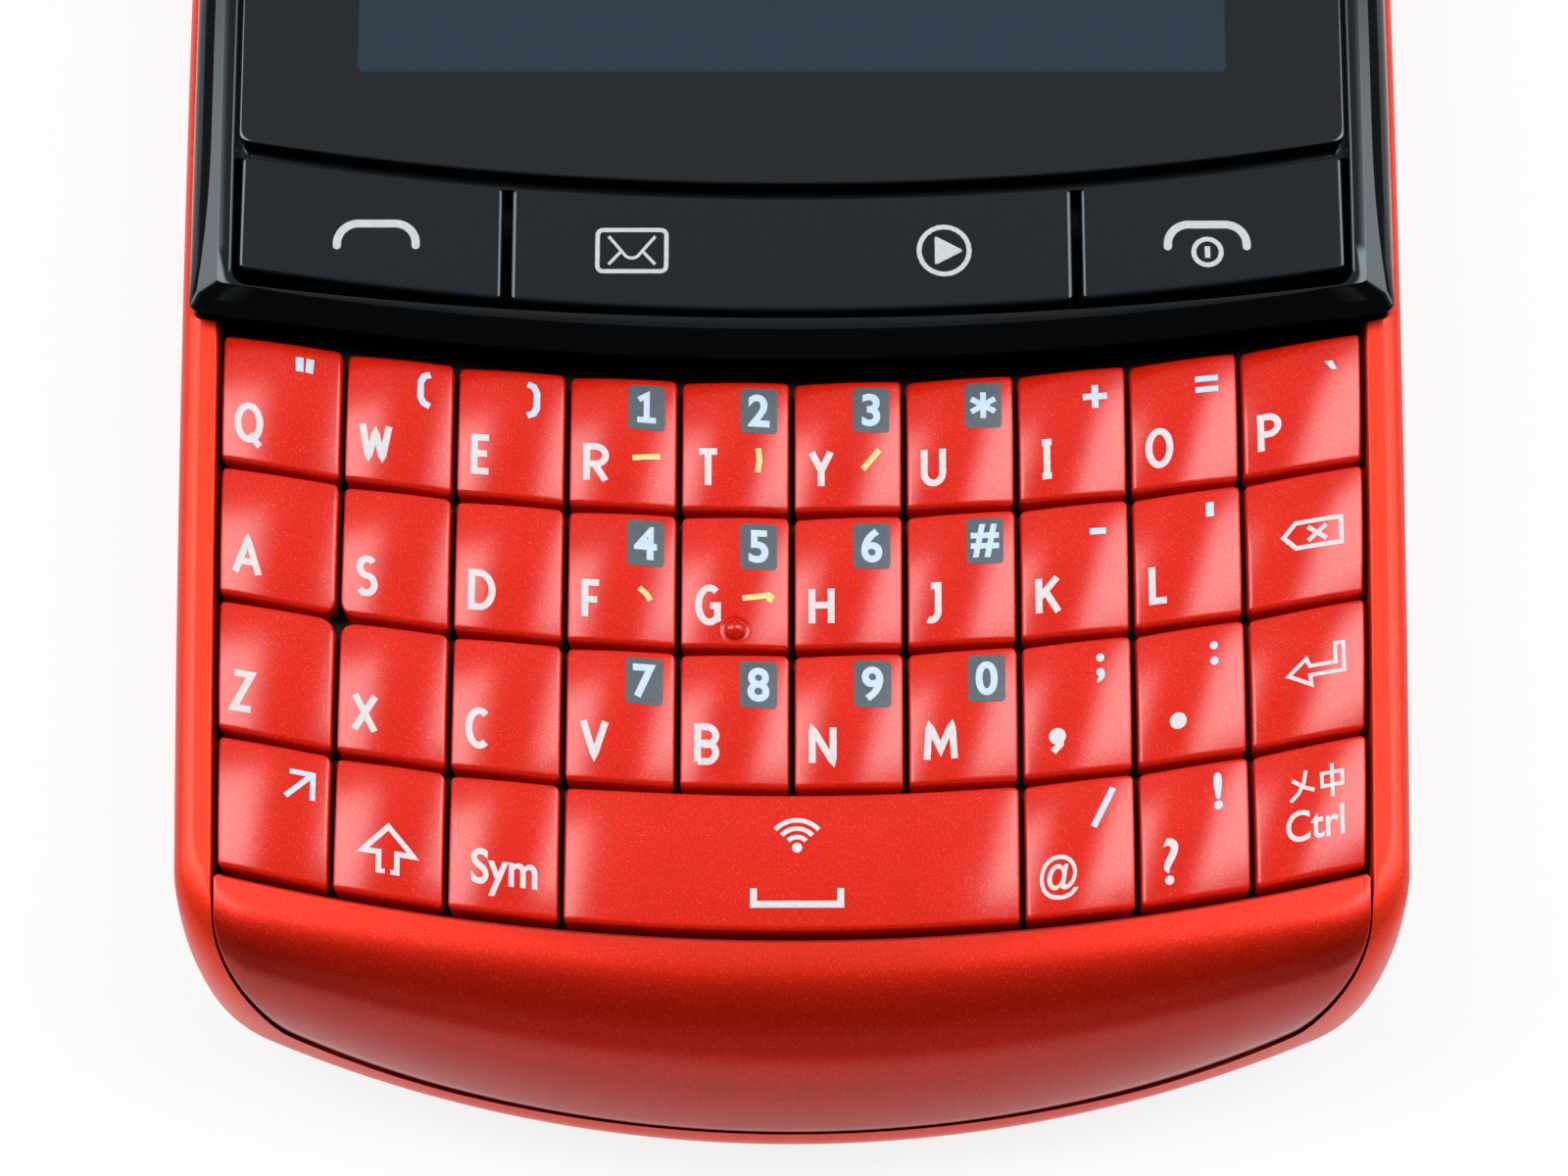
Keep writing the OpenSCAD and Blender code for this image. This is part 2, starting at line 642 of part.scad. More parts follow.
// A keycap between two row curves and two columns, crowned from side to side
module key_cap(k) {
    r = k[1];
    x0 = key_x0(k);
    x1 = key_x1(k);
    half = (x1 - x0) / 2;
    crown_r = (half * half + key_crown * key_crown) / (2 * key_crown);
    color("#b5131f") {
        difference() {
            intersection() {
                translate([col_x(k[2]) + key_gap / 2, low_end, key_under_z])
                    cube([col_x(k[3]) - col_x(k[2]) - key_gap, body_l, 6]);
                above_curve(row_y(r + 1) + key_gap / 2, row_radius(r + 1) - key_gap / 2, key_under_z - 1, 8);
                translate([key_x(k), low_end, key_top_z - crown_r]) rotate([-90, 0, 0])
                    cylinder(r = crown_r, h = body_l, $fn = 360);
                if (k[2] == 0 || k[3] == 10) key_room();
            }
            above_curve(row_y(r) - key_gap / 2, row_radius(r) + key_gap / 2, key_under_z - 2, 12);
            translate([col_x(1), row_edge(2, col_x(1)), 0]) cylinder(r = mic_r, h = 20, $fn = 32);
        }
        if (k[0] == "key_g") translate([key_x(k), row_edge(2, key_x(k)) + 1.1, key_top_z - 0.15])
            cylinder(r1 = 0.45, r2 = 0.3, h = 0.3, $fn = 32);
    }
}

// The room for keys between the rails
module key_room() {
    translate([0, 0, key_under_z - 1]) linear_extrude(8) pocket(key_gap);
}

module side_key(y, l, x) {
    inner_x = x - rail_w - lock_travel - 0.35;
    color("#8f1019") {
        translate([inner_x - eps, y - l / 2, side_key_z - side_key_h / 2])
            cube([x + side_proud - inner_x + eps, l, side_key_h]);
        translate([inner_x - 0.8, y - l / 2 - flange, side_key_z - side_key_h / 2 - flange])
            cube([0.8, l + 2 * flange, side_key_h + 2 * flange]);
    }
}

module volume_rocker() {
    side_key(volume_y, volume_l, volume_x);
}

module lock_key() {
    side_key(lock_y, lock_l, lock_x);
}

module camera_module() {
    lens_r = camera_r - 1.2 - fit;
    color("#1b1c20") translate([0, top_end - camera_in, 0]) {
        translate([-camera_w / 2, -camera_w / 2, floor_z + 0.02])
            cube([camera_w, camera_w, board_z - floor_z - 0.04]);
        translate([0, 0, back_z + 0.02]) cylinder(r = lens_r, h = floor_z - back_z + 0.5, $fn = 64);
    }
}

module camera_window() {
    color("#0a0b0d") translate([0, top_end - camera_in, 0.1])
        cylinder(r = camera_r, h = back_z - 0.12, $fn = 64);
}

module loudspeaker() {
    color("#2b2d31") translate([-speaker_x - speaker_w / 2, speaker_y - speaker_l / 2, floor_z + 0.02])
        cube([speaker_w, speaker_l, speaker_t]);
}

module earpiece() {
    color("#2b2d31") translate([-ear_w / 2, ear_y - ear_l / 2, board_top_z])
        cube([ear_w, ear_l, glass_z - fit - board_top_z]);
}

module audio_jack() {
    face = top_y(jack_x) - 0.5;
    back = face - jack_l - 1;
    color("#26282b") difference() {
        union() {
            translate([jack_x - jack_w / 2, back, board_z - jack_h - 0.02])
                cube([jack_w, socket_front(jack_x + jack_w / 2) - back, jack_h]);
            translate([jack_x, back, jack_z - 0.02]) rotate([-90, 0, 0])
                cylinder(r = jack_r + socket_wall, h = face - back, $fn = 64);
        }
        translate([jack_x, face - jack_l, jack_z - 0.02]) rotate([-90, 0, 0])
            cylinder(r = jack_r, h = jack_l + 1, $fn = 64);
    }
}

module charger_socket() {
    face = top_y(charger_x) - 0.5;
    back = face - charger_l - 1;
    color("#26282b") difference() {
        union() {
            translate([-charger_x - charger_w / 2, back, board_z - charger_h - 0.02])
                cube([charger_w, socket_front(charger_x + charger_w / 2) - back, charger_h]);
            translate([-charger_x, back, charger_z - 0.02]) rotate([-90, 0, 0])
                cylinder(r = charger_r + socket_wall, h = face - back, $fn = 64);
        }
        translate([-charger_x, face - charger_l, charger_z - 0.02]) rotate([-90, 0, 0])
            cylinder(r = charger_r, h = charger_l + 1, $fn = 64);
    }
}

module usb_socket() {
    face = top_y(usb_x) - 0.4;
    w = usb_w + 2 * usb_wall;
    h = usb_h + 2 * usb_wall;
    color("#c3c6ca") difference() {
        translate([usb_x - w / 2, face - usb_l, usb_z - h / 2 - 0.02]) cube([w, usb_l, h]);
        translate([usb_x - usb_w / 2, face - usb_l + 0.5, usb_z - usb_h / 2 - 0.02]) cube([usb_w, usb_l, usb_h]);
    }
}

module case_screws() {
    color("#8c8f94") {
        at_bezel_screws() screw();
        at_chin_screws() screw();
    }
}

module screw() {
    translate([0, 0, screw_z]) cylinder(r = screw_head_r, h = screw_head_h, $fn = 48);
    translate([0, 0, screw_z]) cylinder(r = screw_r, h = screw_tip_z - screw_z, $fn = 48);
}

rear_housing();
battery_cover();
battery();
front_bezel();
touch_glass();
display_module();
chin_cover();
keypad_mat();
dome_sheet();
circuit_board();
call_key();
menu_rocker();
end_key();
volume_rocker();
lock_key();
camera_module();
camera_window();
loudspeaker();
earpiece();
audio_jack();
usb_socket();
charger_socket();
case_screws();
for (k = KEYS) key_cap(k);
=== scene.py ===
# %% [markdown]
# # A red bar phone with a letter keyboard
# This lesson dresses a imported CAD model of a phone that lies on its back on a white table.
# The CAD model gives every place and every moving body; here each piece that shows is
# worked out again as a smooth surface, and gets its finish.
# Sizes are in millimetres until a mesh is made, and one unit of Blender is a metre.

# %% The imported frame
import math

import bmesh
import bpy
import numpy as np
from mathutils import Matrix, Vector


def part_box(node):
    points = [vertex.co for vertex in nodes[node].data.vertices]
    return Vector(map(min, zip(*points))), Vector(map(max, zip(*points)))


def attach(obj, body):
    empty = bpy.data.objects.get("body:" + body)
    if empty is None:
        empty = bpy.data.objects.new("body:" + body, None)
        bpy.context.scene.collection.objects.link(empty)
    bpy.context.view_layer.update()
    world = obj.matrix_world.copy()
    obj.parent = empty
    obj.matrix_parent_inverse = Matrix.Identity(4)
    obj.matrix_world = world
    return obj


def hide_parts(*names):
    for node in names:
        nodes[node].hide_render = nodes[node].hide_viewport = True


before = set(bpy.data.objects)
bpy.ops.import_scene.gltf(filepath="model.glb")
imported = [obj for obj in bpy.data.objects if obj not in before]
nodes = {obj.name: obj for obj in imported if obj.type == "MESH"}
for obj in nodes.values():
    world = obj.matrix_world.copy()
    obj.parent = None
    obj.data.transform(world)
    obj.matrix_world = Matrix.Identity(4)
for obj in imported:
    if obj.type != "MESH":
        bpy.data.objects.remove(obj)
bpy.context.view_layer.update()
MM = 0.001

# %% [markdown]
# The phone's own sizes are those of the CAD source. Every outline below is worked out from
# them, so that a piece made here lands exactly where its CAD node is.

# %% Sizes of the phone
BODY_L, BODY_W = 116.5, 55.7
SIDE_R, END_R, TOP_R, CORNER_R, LOW_CORNER_R = 1500.0, 61.0, 110.0, 8.5, 5.7
WAIST_Z, DECK_Z, BEZEL_Z = 4.4, 12.0, 11.65
BACK_ROLL, BACK_RISE, CHIN_ROLL, CHIN_LEAN, TOP_ROLL = 4.0, 4.0, 6.9, 0.27, 1.2
RAIL_ROUND, RAIL_ROUND_H, RAIL_W, RIM_W = 1.0, 1.2, 1.75, 0.24
END_FLATTEN, CORNER_TIGHTEN = 11.0, 0.3
FIT = 0.12
LOW_END, TOP_END = -BODY_L / 2, BODY_L / 2

ROW_PITCH, COL_PITCH, ROW_R, ROW_R_STEP = 6.38, 5.04, 140.0, 8.0
KEY_GAP, KEY_UNDER_Z, KEY_TOP_Z = 0.24, 10.36, 12.2
KB_LOW = LOW_END + 7.58

BEZEL_H, BEZEL_SLOPE, OPENING_IN, TOP_BAR = 2.25, 1.25, 2.55, 3.2
NAV_R, NAV_HALF, MENU_HALF, NAV_GAP = 150.0, 24.94, 12.65, 0.4
GLASS_Z, GLASS_T = 12.7, 0.9


def row_y(i):
    """Where row line i crosses the middle of the phone; line 0 is above the first row."""
    return KB_LOW + KEY_GAP / 2 + (4 - i) * ROW_PITCH


def row_radius(i):
    """Each row line is an arc whose radius shrinks towards the chin."""
    return ROW_R - ROW_R_STEP * i


def row_edge(i, x):
    """Height of row line i at x: the lowest point of its circle plus the arc's rise."""
    return row_y(i) + row_radius(i) - np.sqrt(row_radius(i) ** 2 - x * x)


def side_x(y, inset=0.0):
    """Distance from the middle to the bowed long side, drawn in by inset."""
    return BODY_W / 2 - SIDE_R + np.sqrt((SIDE_R - inset) ** 2 - y * y)


BEZEL_LOW = row_y(0) + 0.55
BEZEL_CREST = BEZEL_LOW + BEZEL_SLOPE
OPENING_LOW = BEZEL_CREST + 0.75
NAV_LOW = OPENING_LOW + FIT * 1.5
NAV_TOP = NAV_LOW + 5.45
GLASS_LOW = NAV_TOP + 0.65
print("keyboard", KB_LOW, "to", row_y(0), "bezel", BEZEL_LOW, "glass", GLASS_LOW)

# %% [markdown]
# The camera is almost overhead, tilted a little towards the keyboard end. Its distance and
# tilt come from the picture: at them the key columns are parallel, the rows equally deep
# and the display a true rectangle.

# %% Camera
scene = bpy.context.scene
scene.view_settings.view_transform = "Standard"
lens = bpy.data.cameras.new("photo_camera")
lens.sensor_width = 36.0
lens.lens = 103.4
lens.clip_start, lens.clip_end = 0.01, 20.0
camera = bpy.data.objects.new("photo_camera", lens)
scene.collection.objects.link(camera)
camera.location = Vector((-0.35, -91.57, 203.76)) * MM
aim = Vector((-0.35, -34.77, 12.0)) * MM - camera.location
camera.rotation_euler = aim.to_track_quat("-Z", "Y").to_euler()
scene.camera = camera
print("camera at", tuple(round(v, 4) for v in camera.location))

# %% [markdown]
# ## Shader maths in plain Python
# A finish is a small recipe of numbers that change over the surface. This class wraps one
# output of a shader node, so that `1 - mask * 0.3` adds the Math nodes by itself, and its
# one method `node` adds any other kind of node.


# %% Shader values
class Value:
    """One output in a node tree. Arithmetic adds Math nodes; node() adds any other."""

    def __init__(self, tree, socket=None):
        self.tree, self.socket = tree, socket

    def node(self, kind, settings=None, inputs=None, out=0):
        """A new node: its settings first, then a value or a link for each socket."""
        made = self.tree.nodes.new(kind)
        for name, value in (settings or {}).items():
            setattr(made, name, value)
        for name, value in (inputs or {}).items():
            if isinstance(value, Value):
                self.tree.links.new(value.socket, made.inputs[name])
            else:
                made.inputs[name].default_value = value
        return Value(self.tree, made.outputs[out] if len(made.outputs) else None)

    def axes(self, vector):
        """The x, y and z of a vector, a Value each."""
        split = self.node("ShaderNodeSeparateXYZ", None, {"Vector": vector}).socket.node
        return [Value(self.tree, part) for part in split.outputs]

    def math(self, operation, a, b=0.0):
        return self.node("ShaderNodeMath", {"operation": operation}, {0: a, 1: b})

    def __add__(self, other):
        return self.math("ADD", self, other)

    def __radd__(self, other):
        return self.math("ADD", other, self)

    def __sub__(self, other):
        return self.math("SUBTRACT", self, other)

    def __rsub__(self, other):
        return self.math("SUBTRACT", other, self)

    def __mul__(self, other):
        return self.math("MULTIPLY", self, other)

    def __abs__(self):
        return self.math("ABSOLUTE", self)

    def fade(self, low, high):
        """0 below low and 1 above high, with a soft step between."""
        settings = {"interpolation_type": "SMOOTHSTEP"}
        return self.node("ShaderNodeMapRange", settings, {0: self, 1: low, 2: high})


def new_finish(name):
    """An empty material and a Value to build in its tree."""
    material = bpy.data.materials.new(name)
    material.use_nodes = True
    material.node_tree.nodes.clear()
    return material, Value(material.node_tree)


def place(v):
    """Object coordinates, which are the phone's own metres."""
    return v.node("ShaderNodeTexCoord", out="Object")


def noise(v, scale, detail=2.0, rough=0.5):
    """Noise with so many cells a metre, from 0 to 1."""
    inputs = {"Vector": place(v), "Scale": scale, "Detail": detail, "Roughness": rough}
    return v.node("ShaderNodeTexNoise", None, inputs)


def mix_colour(v, share, one, two):
    """Colour one where share is 0, colour two where it is 1."""
    inputs = {"Factor": share, 6: one, 7: two}
    return v.node("ShaderNodeMix", {"data_type": "RGBA"}, inputs, out=2)


def bump(v, height, depth, strength=0.3):
    """A Normal from a height of 0 to 1 that stands depth metres tall."""
    inputs = {"Height": height, "Distance": depth, "Strength": strength}
    return v.node("ShaderNodeBump", None, inputs)


def shade(base, times=1.0, plus=0.0):
    """A colour made lighter or darker, with its alpha."""
    return tuple(min(1.0, c * times + plus) for c in base) + (1.0,)


def principled(v, inputs):
    return v.node("ShaderNodeBsdfPrincipled", None, inputs)


def mix_shader(v, share, one, two):
    """Shader one where share is 0, shader two where it is 1."""
    return v.node("ShaderNodeMixShader", None, {0: share, 1: one, 2: two})


def close_finish(v, surface):
    """Joins a shader to the output of its material."""
    v.node("ShaderNodeOutputMaterial", None, {"Surface": surface})


# %% [markdown]
# ## Finishes
# The red paint has fine metal flakes under a satin coat: the flakes sparkle at under a tenth
# of a millimetre, so they are a very fine noise in colour, roughness and normal.
# Piano black is smooth and dark, with a faint mould waviness. The other finishes are small
# variations, each with the grain its own material has.


# %% Red paint
def red_paint(name, base, metal=0.6, coat=0.7, coat_roughness=0.28, painted_shade_end=False):
    """Metallic paint: flakes lighten the colour and turn the normal a little.

    With painted_shade_end the colour is darkened, as painted shade, towards the rim of the keyboard
    end, and a little along the keyboard, by the distance from the centre of that end's arc; the
    painted shade stands in for the darker look the flakes give where they are seen on edge.
    """
    material, v = new_finish(name)
    flakes = noise(v, 13000.0, 1.0, 0.6)
    clouds = noise(v, 700.0, 3.0)
    colour = mix_colour(v, flakes.fade(0.54, 0.72) * 0.5, shade(base), shade(base, 1.6, 0.03))
    colour = mix_colour(v, clouds.fade(0.45, 0.75) * 0.25, colour, shade(base, 0.82))
    if painted_shade_end:
        x, y, _ = v.axes(place(v))
        y = y - (LOW_END + END_R) * MM
        reach = v.math("SQRT", x * x + y * y)
        # painted shade: black mixed in towards the rim of the keyboard end and along its upper edge
        rim = reach.fade((END_R - 3.4) * MM, (END_R - 1.4) * MM)
        inner_shade_fade = reach.fade((END_R - 7.0) * MM, (END_R - 5.9) * MM)
        colour = mix_colour(v, rim * 0.42, colour, shade(base, 0.0))
        colour = mix_colour(v, (1.0 - inner_shade_fade) * 0.3, colour, shade(base, 0.0))
    shader = {
        "Base Color": colour,
        "Metallic": metal,
        "Specular IOR Level": 0.0,
        "Roughness": 0.65 - metal * 0.32 + (clouds - 0.5) * 0.08 + (flakes - 0.5) * 0.12,
        "Coat Weight": coat + (flakes - 0.5) * coat,
        "Coat Roughness": coat_roughness,
        "Normal": bump(v, flakes, 8e-6, 0.4),
    }
    close_finish(v, principled(v, shader))
    return material


shell_red = red_paint("shell_red", (0.7, 0.026, 0.003), coat=0.4)
# the chin's red carries painted shade towards its rim and its upper edge
chin_red = red_paint("chin_red", (0.64, 0.014, 0.002), 0.8, 0.7, 0.22, True)
key_red = red_paint("key_red", (0.54, 0.009, 0.001), 0.2, 0.9, 0.17)
cover_red = red_paint("cover_red", (0.74, 0.027, 0.003))
side_red = red_paint("side_red", (0.74, 0.027, 0.003))
print("red paints made")


# %% Black, glass, ink and metal
def black_gloss(name, base, roughness=0.06, dull_wall=False):
    """Polished black plastic: fine scuffs in its roughness, and a mould's waviness.

    With dull_wall the upright faces towards the keyboard are left matt, as the mould's
    draft faces are, so that the red keys are not mirrored in them.
    """
    material, v = new_finish(name)
    scuffs = noise(v, 2500.0, 4.0, 0.65)
    drift = noise(v, 60.0, 2.0)
    shader = {
        "Base Color": mix_colour(v, scuffs.fade(0.55, 0.8) * 0.3, shade(base), shade(base, 1.8)),
        "Roughness": roughness + scuffs.fade(0.5, 0.8) * 0.04,
        "Normal": bump(v, drift, 2e-5, 0.05),
        "Specular Tint": (0.78, 0.9, 1.0, 1.0),
    }
    surface = principled(v, shader)
    if dull_wall:
        along = v.axes(v.node("ShaderNodeTexCoord", out="Normal"))[1]
        matt = {"Base Color": shade(base), "Roughness": 0.9, "Specular IOR Level": 0.0}
        surface = mix_shader(v, (along * -1.0).fade(0.8, 0.95), surface, principled(v, matt))
    close_finish(v, surface)
    return material


def touch_screen(name):
    """Black print round a blue-grey window; the window is a rounded rectangle."""
    material, v = new_finish(name)
    x, y, _ = v.axes(place(v))
    half_w, half_l, mid_y, corner = 19.8 * MM, 26.4 * MM, 15.7 * MM, 0.3 * MM
    dx = v.math("MAXIMUM", abs(x) - (half_w - corner), 0.0)
    dy = v.math("MAXIMUM", abs(y - mid_y) - (half_l - corner), 0.0)
    reach = v.math("SQRT", dx * dx + dy * dy)
    window = 1.0 - reach.fade(corner - 0.05 * MM, corner + 0.05 * MM)
    bands = {"bands_direction": "X", "wave_profile": "SIN"}
    grid = v.node("ShaderNodeTexWave", bands, {"Vector": place(v), "Scale": 2400.0})
    lit = mix_colour(v, grid * 0.12, (0.0098, 0.0225, 0.0385, 1.0), (0.0125, 0.0275, 0.0465, 1.0))
    smudge = noise(v, 90.0, 3.0, 0.6)
    shader = {
        "Base Color": mix_colour(v, window, (0.0035, 0.0055, 0.0075, 1.0), lit),
        "Roughness": 0.05 + smudge.fade(0.45, 0.8) * 0.05,
    }
    close_finish(v, principled(v, shader))
    return material


def moulded(name, base, roughness=0.5, grain=4000.0, metal=0.0, contrast=0.25, depth=8e-6):
    """Any plain moulded, rolled or printed stuff: a fine grain in colour and normal."""
    material, v = new_finish(name)
    cells = noise(v, grain, 2.0)
    dark, light = shade(base, 1 - contrast), shade(base, 1 + contrast)
    shader = {
        "Base Color": mix_colour(v, cells.fade(0.3, 0.7), dark, light),
        "Roughness": roughness + (cells - 0.5) * 0.15,
        "Metallic": metal,
        "Normal": bump(v, cells, depth, 0.3),
    }
    close_finish(v, principled(v, shader))
    return material


bezel_black = black_gloss("bezel_black", (0.0014, 0.0017, 0.002), dull_wall=True)
nav_black = black_gloss("nav_black", (0.0035, 0.0052, 0.007), 0.08)
lens_black = black_gloss("lens_black", (0.004, 0.0042, 0.006), 0.03)
screen = touch_screen("screen_glass")
INKS = {
    name: moulded("ink_" + name, base, roughness, 6000.0, 0.0, contrast)
    for name, base, roughness, contrast in (
        ("white", (0.58, 0.56, 0.575), 0.5, 0.06),
        ("silver", (0.43, 0.475, 0.495), 0.5, 0.06),
        ("blue", (0.46, 0.58, 0.7), 0.5, 0.06),
        ("grey", (0.054, 0.073, 0.091), 0.45, 0.12),
        ("yellow", (0.74, 0.55, 0.2), 0.5, 0.1),
    )
}
silicone = moulded("silicone", (0.008, 0.006, 0.007), 0.75)
board_green = moulded("board_green", (0.015, 0.1, 0.04), 0.4, 1500.0)
plastic_black = moulded("plastic_black", (0.015, 0.016, 0.018), 0.55, 3000.0)
steel = moulded("steel", (0.52, 0.52, 0.54), 0.28, 2500.0, 1.0, 0.12)
brass = moulded("brass", (0.72, 0.55, 0.24), 0.25, 2500.0, 1.0, 0.1)
wrap_grey = moulded("wrap_grey", (0.12, 0.125, 0.135), 0.42, 1200.0, 0.3, 0.12)
print("finishes:", len(bpy.data.materials))

# %% [markdown]
# ## From arrays to pieces
# Every new piece is a grid of points from numpy. `piece` turns the points and faces into a
# mesh object, turns it the right way out by the sign of its volume, ties it to the body it
# moves with, and hides the CAD node that it stands for.


# %% Mesh helpers
def grid_faces(rows, cols, wrap_rows=False, wrap_cols=False):
    """Quads between neighbours of a rows by cols grid, closed on itself where asked."""
    r = np.arange(rows if wrap_rows else rows - 1)[:, None]
    c = np.arange(cols if wrap_cols else cols - 1)[None, :]
    r1, c1 = (r + 1) % rows, (c + 1) % cols
    quads = np.stack([r * cols + c, r * cols + c1, r1 * cols + c1, r1 * cols + c], -1)
    return quads.reshape(-1, 4)


def raw_object(name, points, faces, crease=35.0):
    """A linked mesh object from points in millimetres, shaded smooth up to a crease."""
    mesh = bpy.data.meshes.new(name)
    mesh.from_pydata((np.asarray(points, float).reshape(-1, 3) * MM).tolist(), [], faces)
    settle(mesh, crease)
    made = bpy.data.objects.new(name, mesh)
    scene.collection.objects.link(made)
    return made


def settle(mesh, crease):
    """Turns a closed mesh outwards by its signed volume, and shades it."""
    work = bmesh.new()
    work.from_mesh(mesh)
    closed = all(edge.is_manifold for edge in work.edges)
    if closed and work.calc_volume(signed=True) < 0:
        bmesh.ops.reverse_faces(work, faces=work.faces)
    work.to_mesh(mesh)
    work.free()
    mesh.polygons.foreach_set("use_smooth", np.ones(len(mesh.polygons), bool))
    mesh.set_sharp_from_angle(angle=math.radians(crease))
    mesh.update()


def dress(made, finish, body, stands_for=()):
    """Gives an object its finish and its body, and hides the nodes it stands for."""
    for one in finish if isinstance(finish, (list, tuple)) else [finish]:
        made.data.materials.append(one)
    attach(made, body)
    if stands_for:
        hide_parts(*stands_for)
    return made


def piece(name, points, faces, finish, body, slot=None, stands_for=(), crease=35.0):
    """A finished piece from points and faces."""
    faces = [list(map(int, face)) for face in faces]
    return dress(raw_object(name, points, faces, crease), finish, body, stands_for)


def rim_index(rows, cols):
    """The numbers of the points round the edge of a grid, in order."""
    index = np.arange(rows * cols).reshape(rows, cols)
    return np.concatenate([index[0, :-1], index[:-1, -1], index[-1, :0:-1], index[:0:-1, 0]])


def sheet_with_skirt(top, floor_z):
    """A grid of points closed below: its rim dropped to floor_z, and one flat face there."""
    rows, cols = top.shape[:2]
    rim, points = rim_index(rows, cols), top.reshape(-1, 3)
    foot = points[rim].copy()
    foot[:, 2] = floor_z
    below = len(points) + np.arange(len(rim))
    walls = np.stack([rim, np.roll(rim, -1), np.roll(below, -1), below], -1)
    faces = grid_faces(rows, cols)[:, ::-1].tolist() + walls.tolist()
    return np.concatenate([points, foot]), faces + [below.tolist()]


def joined(shapes):
    """Several shapes as one: points in a row, face numbers moved on to match."""
    starts = np.cumsum([0] + [len(points) for points, _ in shapes]).tolist()
    faces = [[i + at for i in face] for at, (_, some) in zip(starts, shapes) for face in some]
    return np.concatenate([points for points, _ in shapes]), faces


def evaluated_mesh(made):
    """A new mesh of an object as its modifiers leave it."""
    graph = bpy.context.evaluated_depsgraph_get()
    return bpy.data.meshes.new_from_object(made.evaluated_get(graph))


# %% [markdown]
# ## Keycaps
# Each cap on the real keyboard is a crowned pad that twists: its left half falls away more
# towards the screen, its right half more towards the chin, so a ridge runs from the upper
# right to the lower left and light catches a patch on either side. A height formula over
# the cap gives that: minus a crown times u squared and a sag times v squared, plus a twist
# times u times v.
# The plan is the patch between two columns and two row arcs, with rounded corners.

# %% Keycap surfaces
ROWS = [
    ["q", "w", "e", "r", "t", "y", "u", "i", "o", "p"],
    ["a", "s", "d", "f", "g", "h", "j", "k", "l", "backspace"],
    ["z", "x", "c", "v", "b", "n", "m", "comma", "period", "enter"],
    ["fn", "shift", "sym", "space", "at", "question", "ctrl"],
]
LAST_EDGES = [0, 1, 2, 3, 7, 8, 9, 10]
KEY_CORNER, CUT_CORNER, KEY_EDGE, KEY_FRONT_EDGE, CAP_LIFT = 0.3, 0.72, 0.13, 0.26, 0.1
CREST_Z = KEY_TOP_Z - 0.18
CUT_CORNERS = {"a": (1, -1), "s": (-1, -1), "z": (1, 1), "x": (-1, 1)}


def spread(n, pull=0.55):
    """n places from -1 to 1, closer together near both ends."""
    t = np.linspace(-1, 1, n)
    return (1 - pull) * t + pull * np.sin(t * math.pi / 2)


def edge_drop(radius, distance):
    """How far a quarter-round edge has fallen at a distance from the rim."""
    t = np.clip(1 - distance / radius, 0, 1)
    return radius * (1 - np.sqrt(np.maximum(0, 1 - t * t)))


def round_corners(a, b, half_w, half_l, radius):
    """A grid of -1 to 1 drawn in at its corners, how far each point lies into a corner either
    way, and its distance from the nearest edge."""
    over_a = np.maximum(0, np.abs(a) * half_w - (half_w - radius)) / radius
    over_b = np.maximum(0, np.abs(b) * half_l - (half_l - radius)) / radius
    u = a - np.sign(a) * radius * over_a * (1 - np.sqrt(1 - over_b**2 / 2)) / half_w
    v = b - np.sign(b) * radius * over_b * (1 - np.sqrt(1 - over_a**2 / 2)) / half_l
    edge = np.minimum((1 - np.abs(a)) * half_w, (1 - np.abs(b)) * half_l)
    return u, v, over_a, over_b, edge


class Cap:
    """The plan and the height formula of one cap, shared by its mesh and its legend."""

    crown, twist, sag = 0.22, 0.13, 0.2

    def __init__(self, row, first, last):
        self.row, self.first, self.last = row, first, last

    def sides(self, y):
        """Left and right edge at y: a column line, or the bowed rail."""
        rail = side_x(y, RAIL_W + KEY_GAP)
        left = -rail if self.first == 0 else (self.first - 5) * COL_PITCH + KEY_GAP / 2
        right = rail if self.last == 10 else (self.last - 5) * COL_PITCH - KEY_GAP / 2
        return left + 0 * y, right + 0 * y

    def ends(self, x):
        """Lower and upper edge at x: the arcs of the two row lines."""
        low, high = row_edge(self.row + 1, x), row_edge(self.row, x)
        return low + KEY_GAP / 2 + CAP_LIFT, high - KEY_GAP / 2 + CAP_LIFT

    def share(self, x, y):
        """Where a point lies across and along the cap, both from -1 to 1."""
        left, right = self.sides(y)
        low, high = self.ends(x)
        return (2 * x - left - right) / (right - left), (2 * y - low - high) / (high - low)

    def height(self, x, y):
        """Crest height less the crown, with the twist that makes the diagonal ridge; a wide cap
        stays flat nearly to its sides."""
        u, v = self.share(x, y)
        if self.last - self.first > 2:
            u = np.sign(u) * np.abs(u) ** 4
        return CREST_Z - (self.crown * u * u - self.twist * u * v + self.sag * v * v)

    def grid(self, n_across, n_along, cut=None):
        """Points of the cap's top: plan with round corners, height with rolled edges."""
        a, b = np.meshgrid(spread(n_across), spread(n_along), indexing="ij")
        sides = self.sides(np.array(row_y(self.row)))
        half_w, half_l = float(np.ptp(sides) / 2), (ROW_PITCH - KEY_GAP) / 2
        radius = np.full(a.shape, KEY_CORNER)
        if cut:
            radius = np.where((a * cut[0] > 0) & (b * cut[1] > 0), CUT_CORNER, radius)
        u, v, over_a, over_b, flat = round_corners(a, b, half_w, half_l, radius)
        x = u * half_w + sum(sides) / 2
        for _ in range(3):
            low, high = self.ends(x)
            y = (low + high) / 2 + v * (high - low) / 2
            left, right = self.sides(y)
            x = (left + right) / 2 + u * (right - left) / 2
        corner = radius * (1 - np.maximum(over_a, over_b))
        rim = np.where(np.hypot(over_a, over_b) > 0, np.minimum(flat, corner), flat)
        z = self.height(x, y) - edge_drop(KEY_EDGE, rim)
        z -= edge_drop(KEY_FRONT_EDGE, np.maximum(0, (1 + v) * half_l))
        return np.stack([x, y, z], -1)


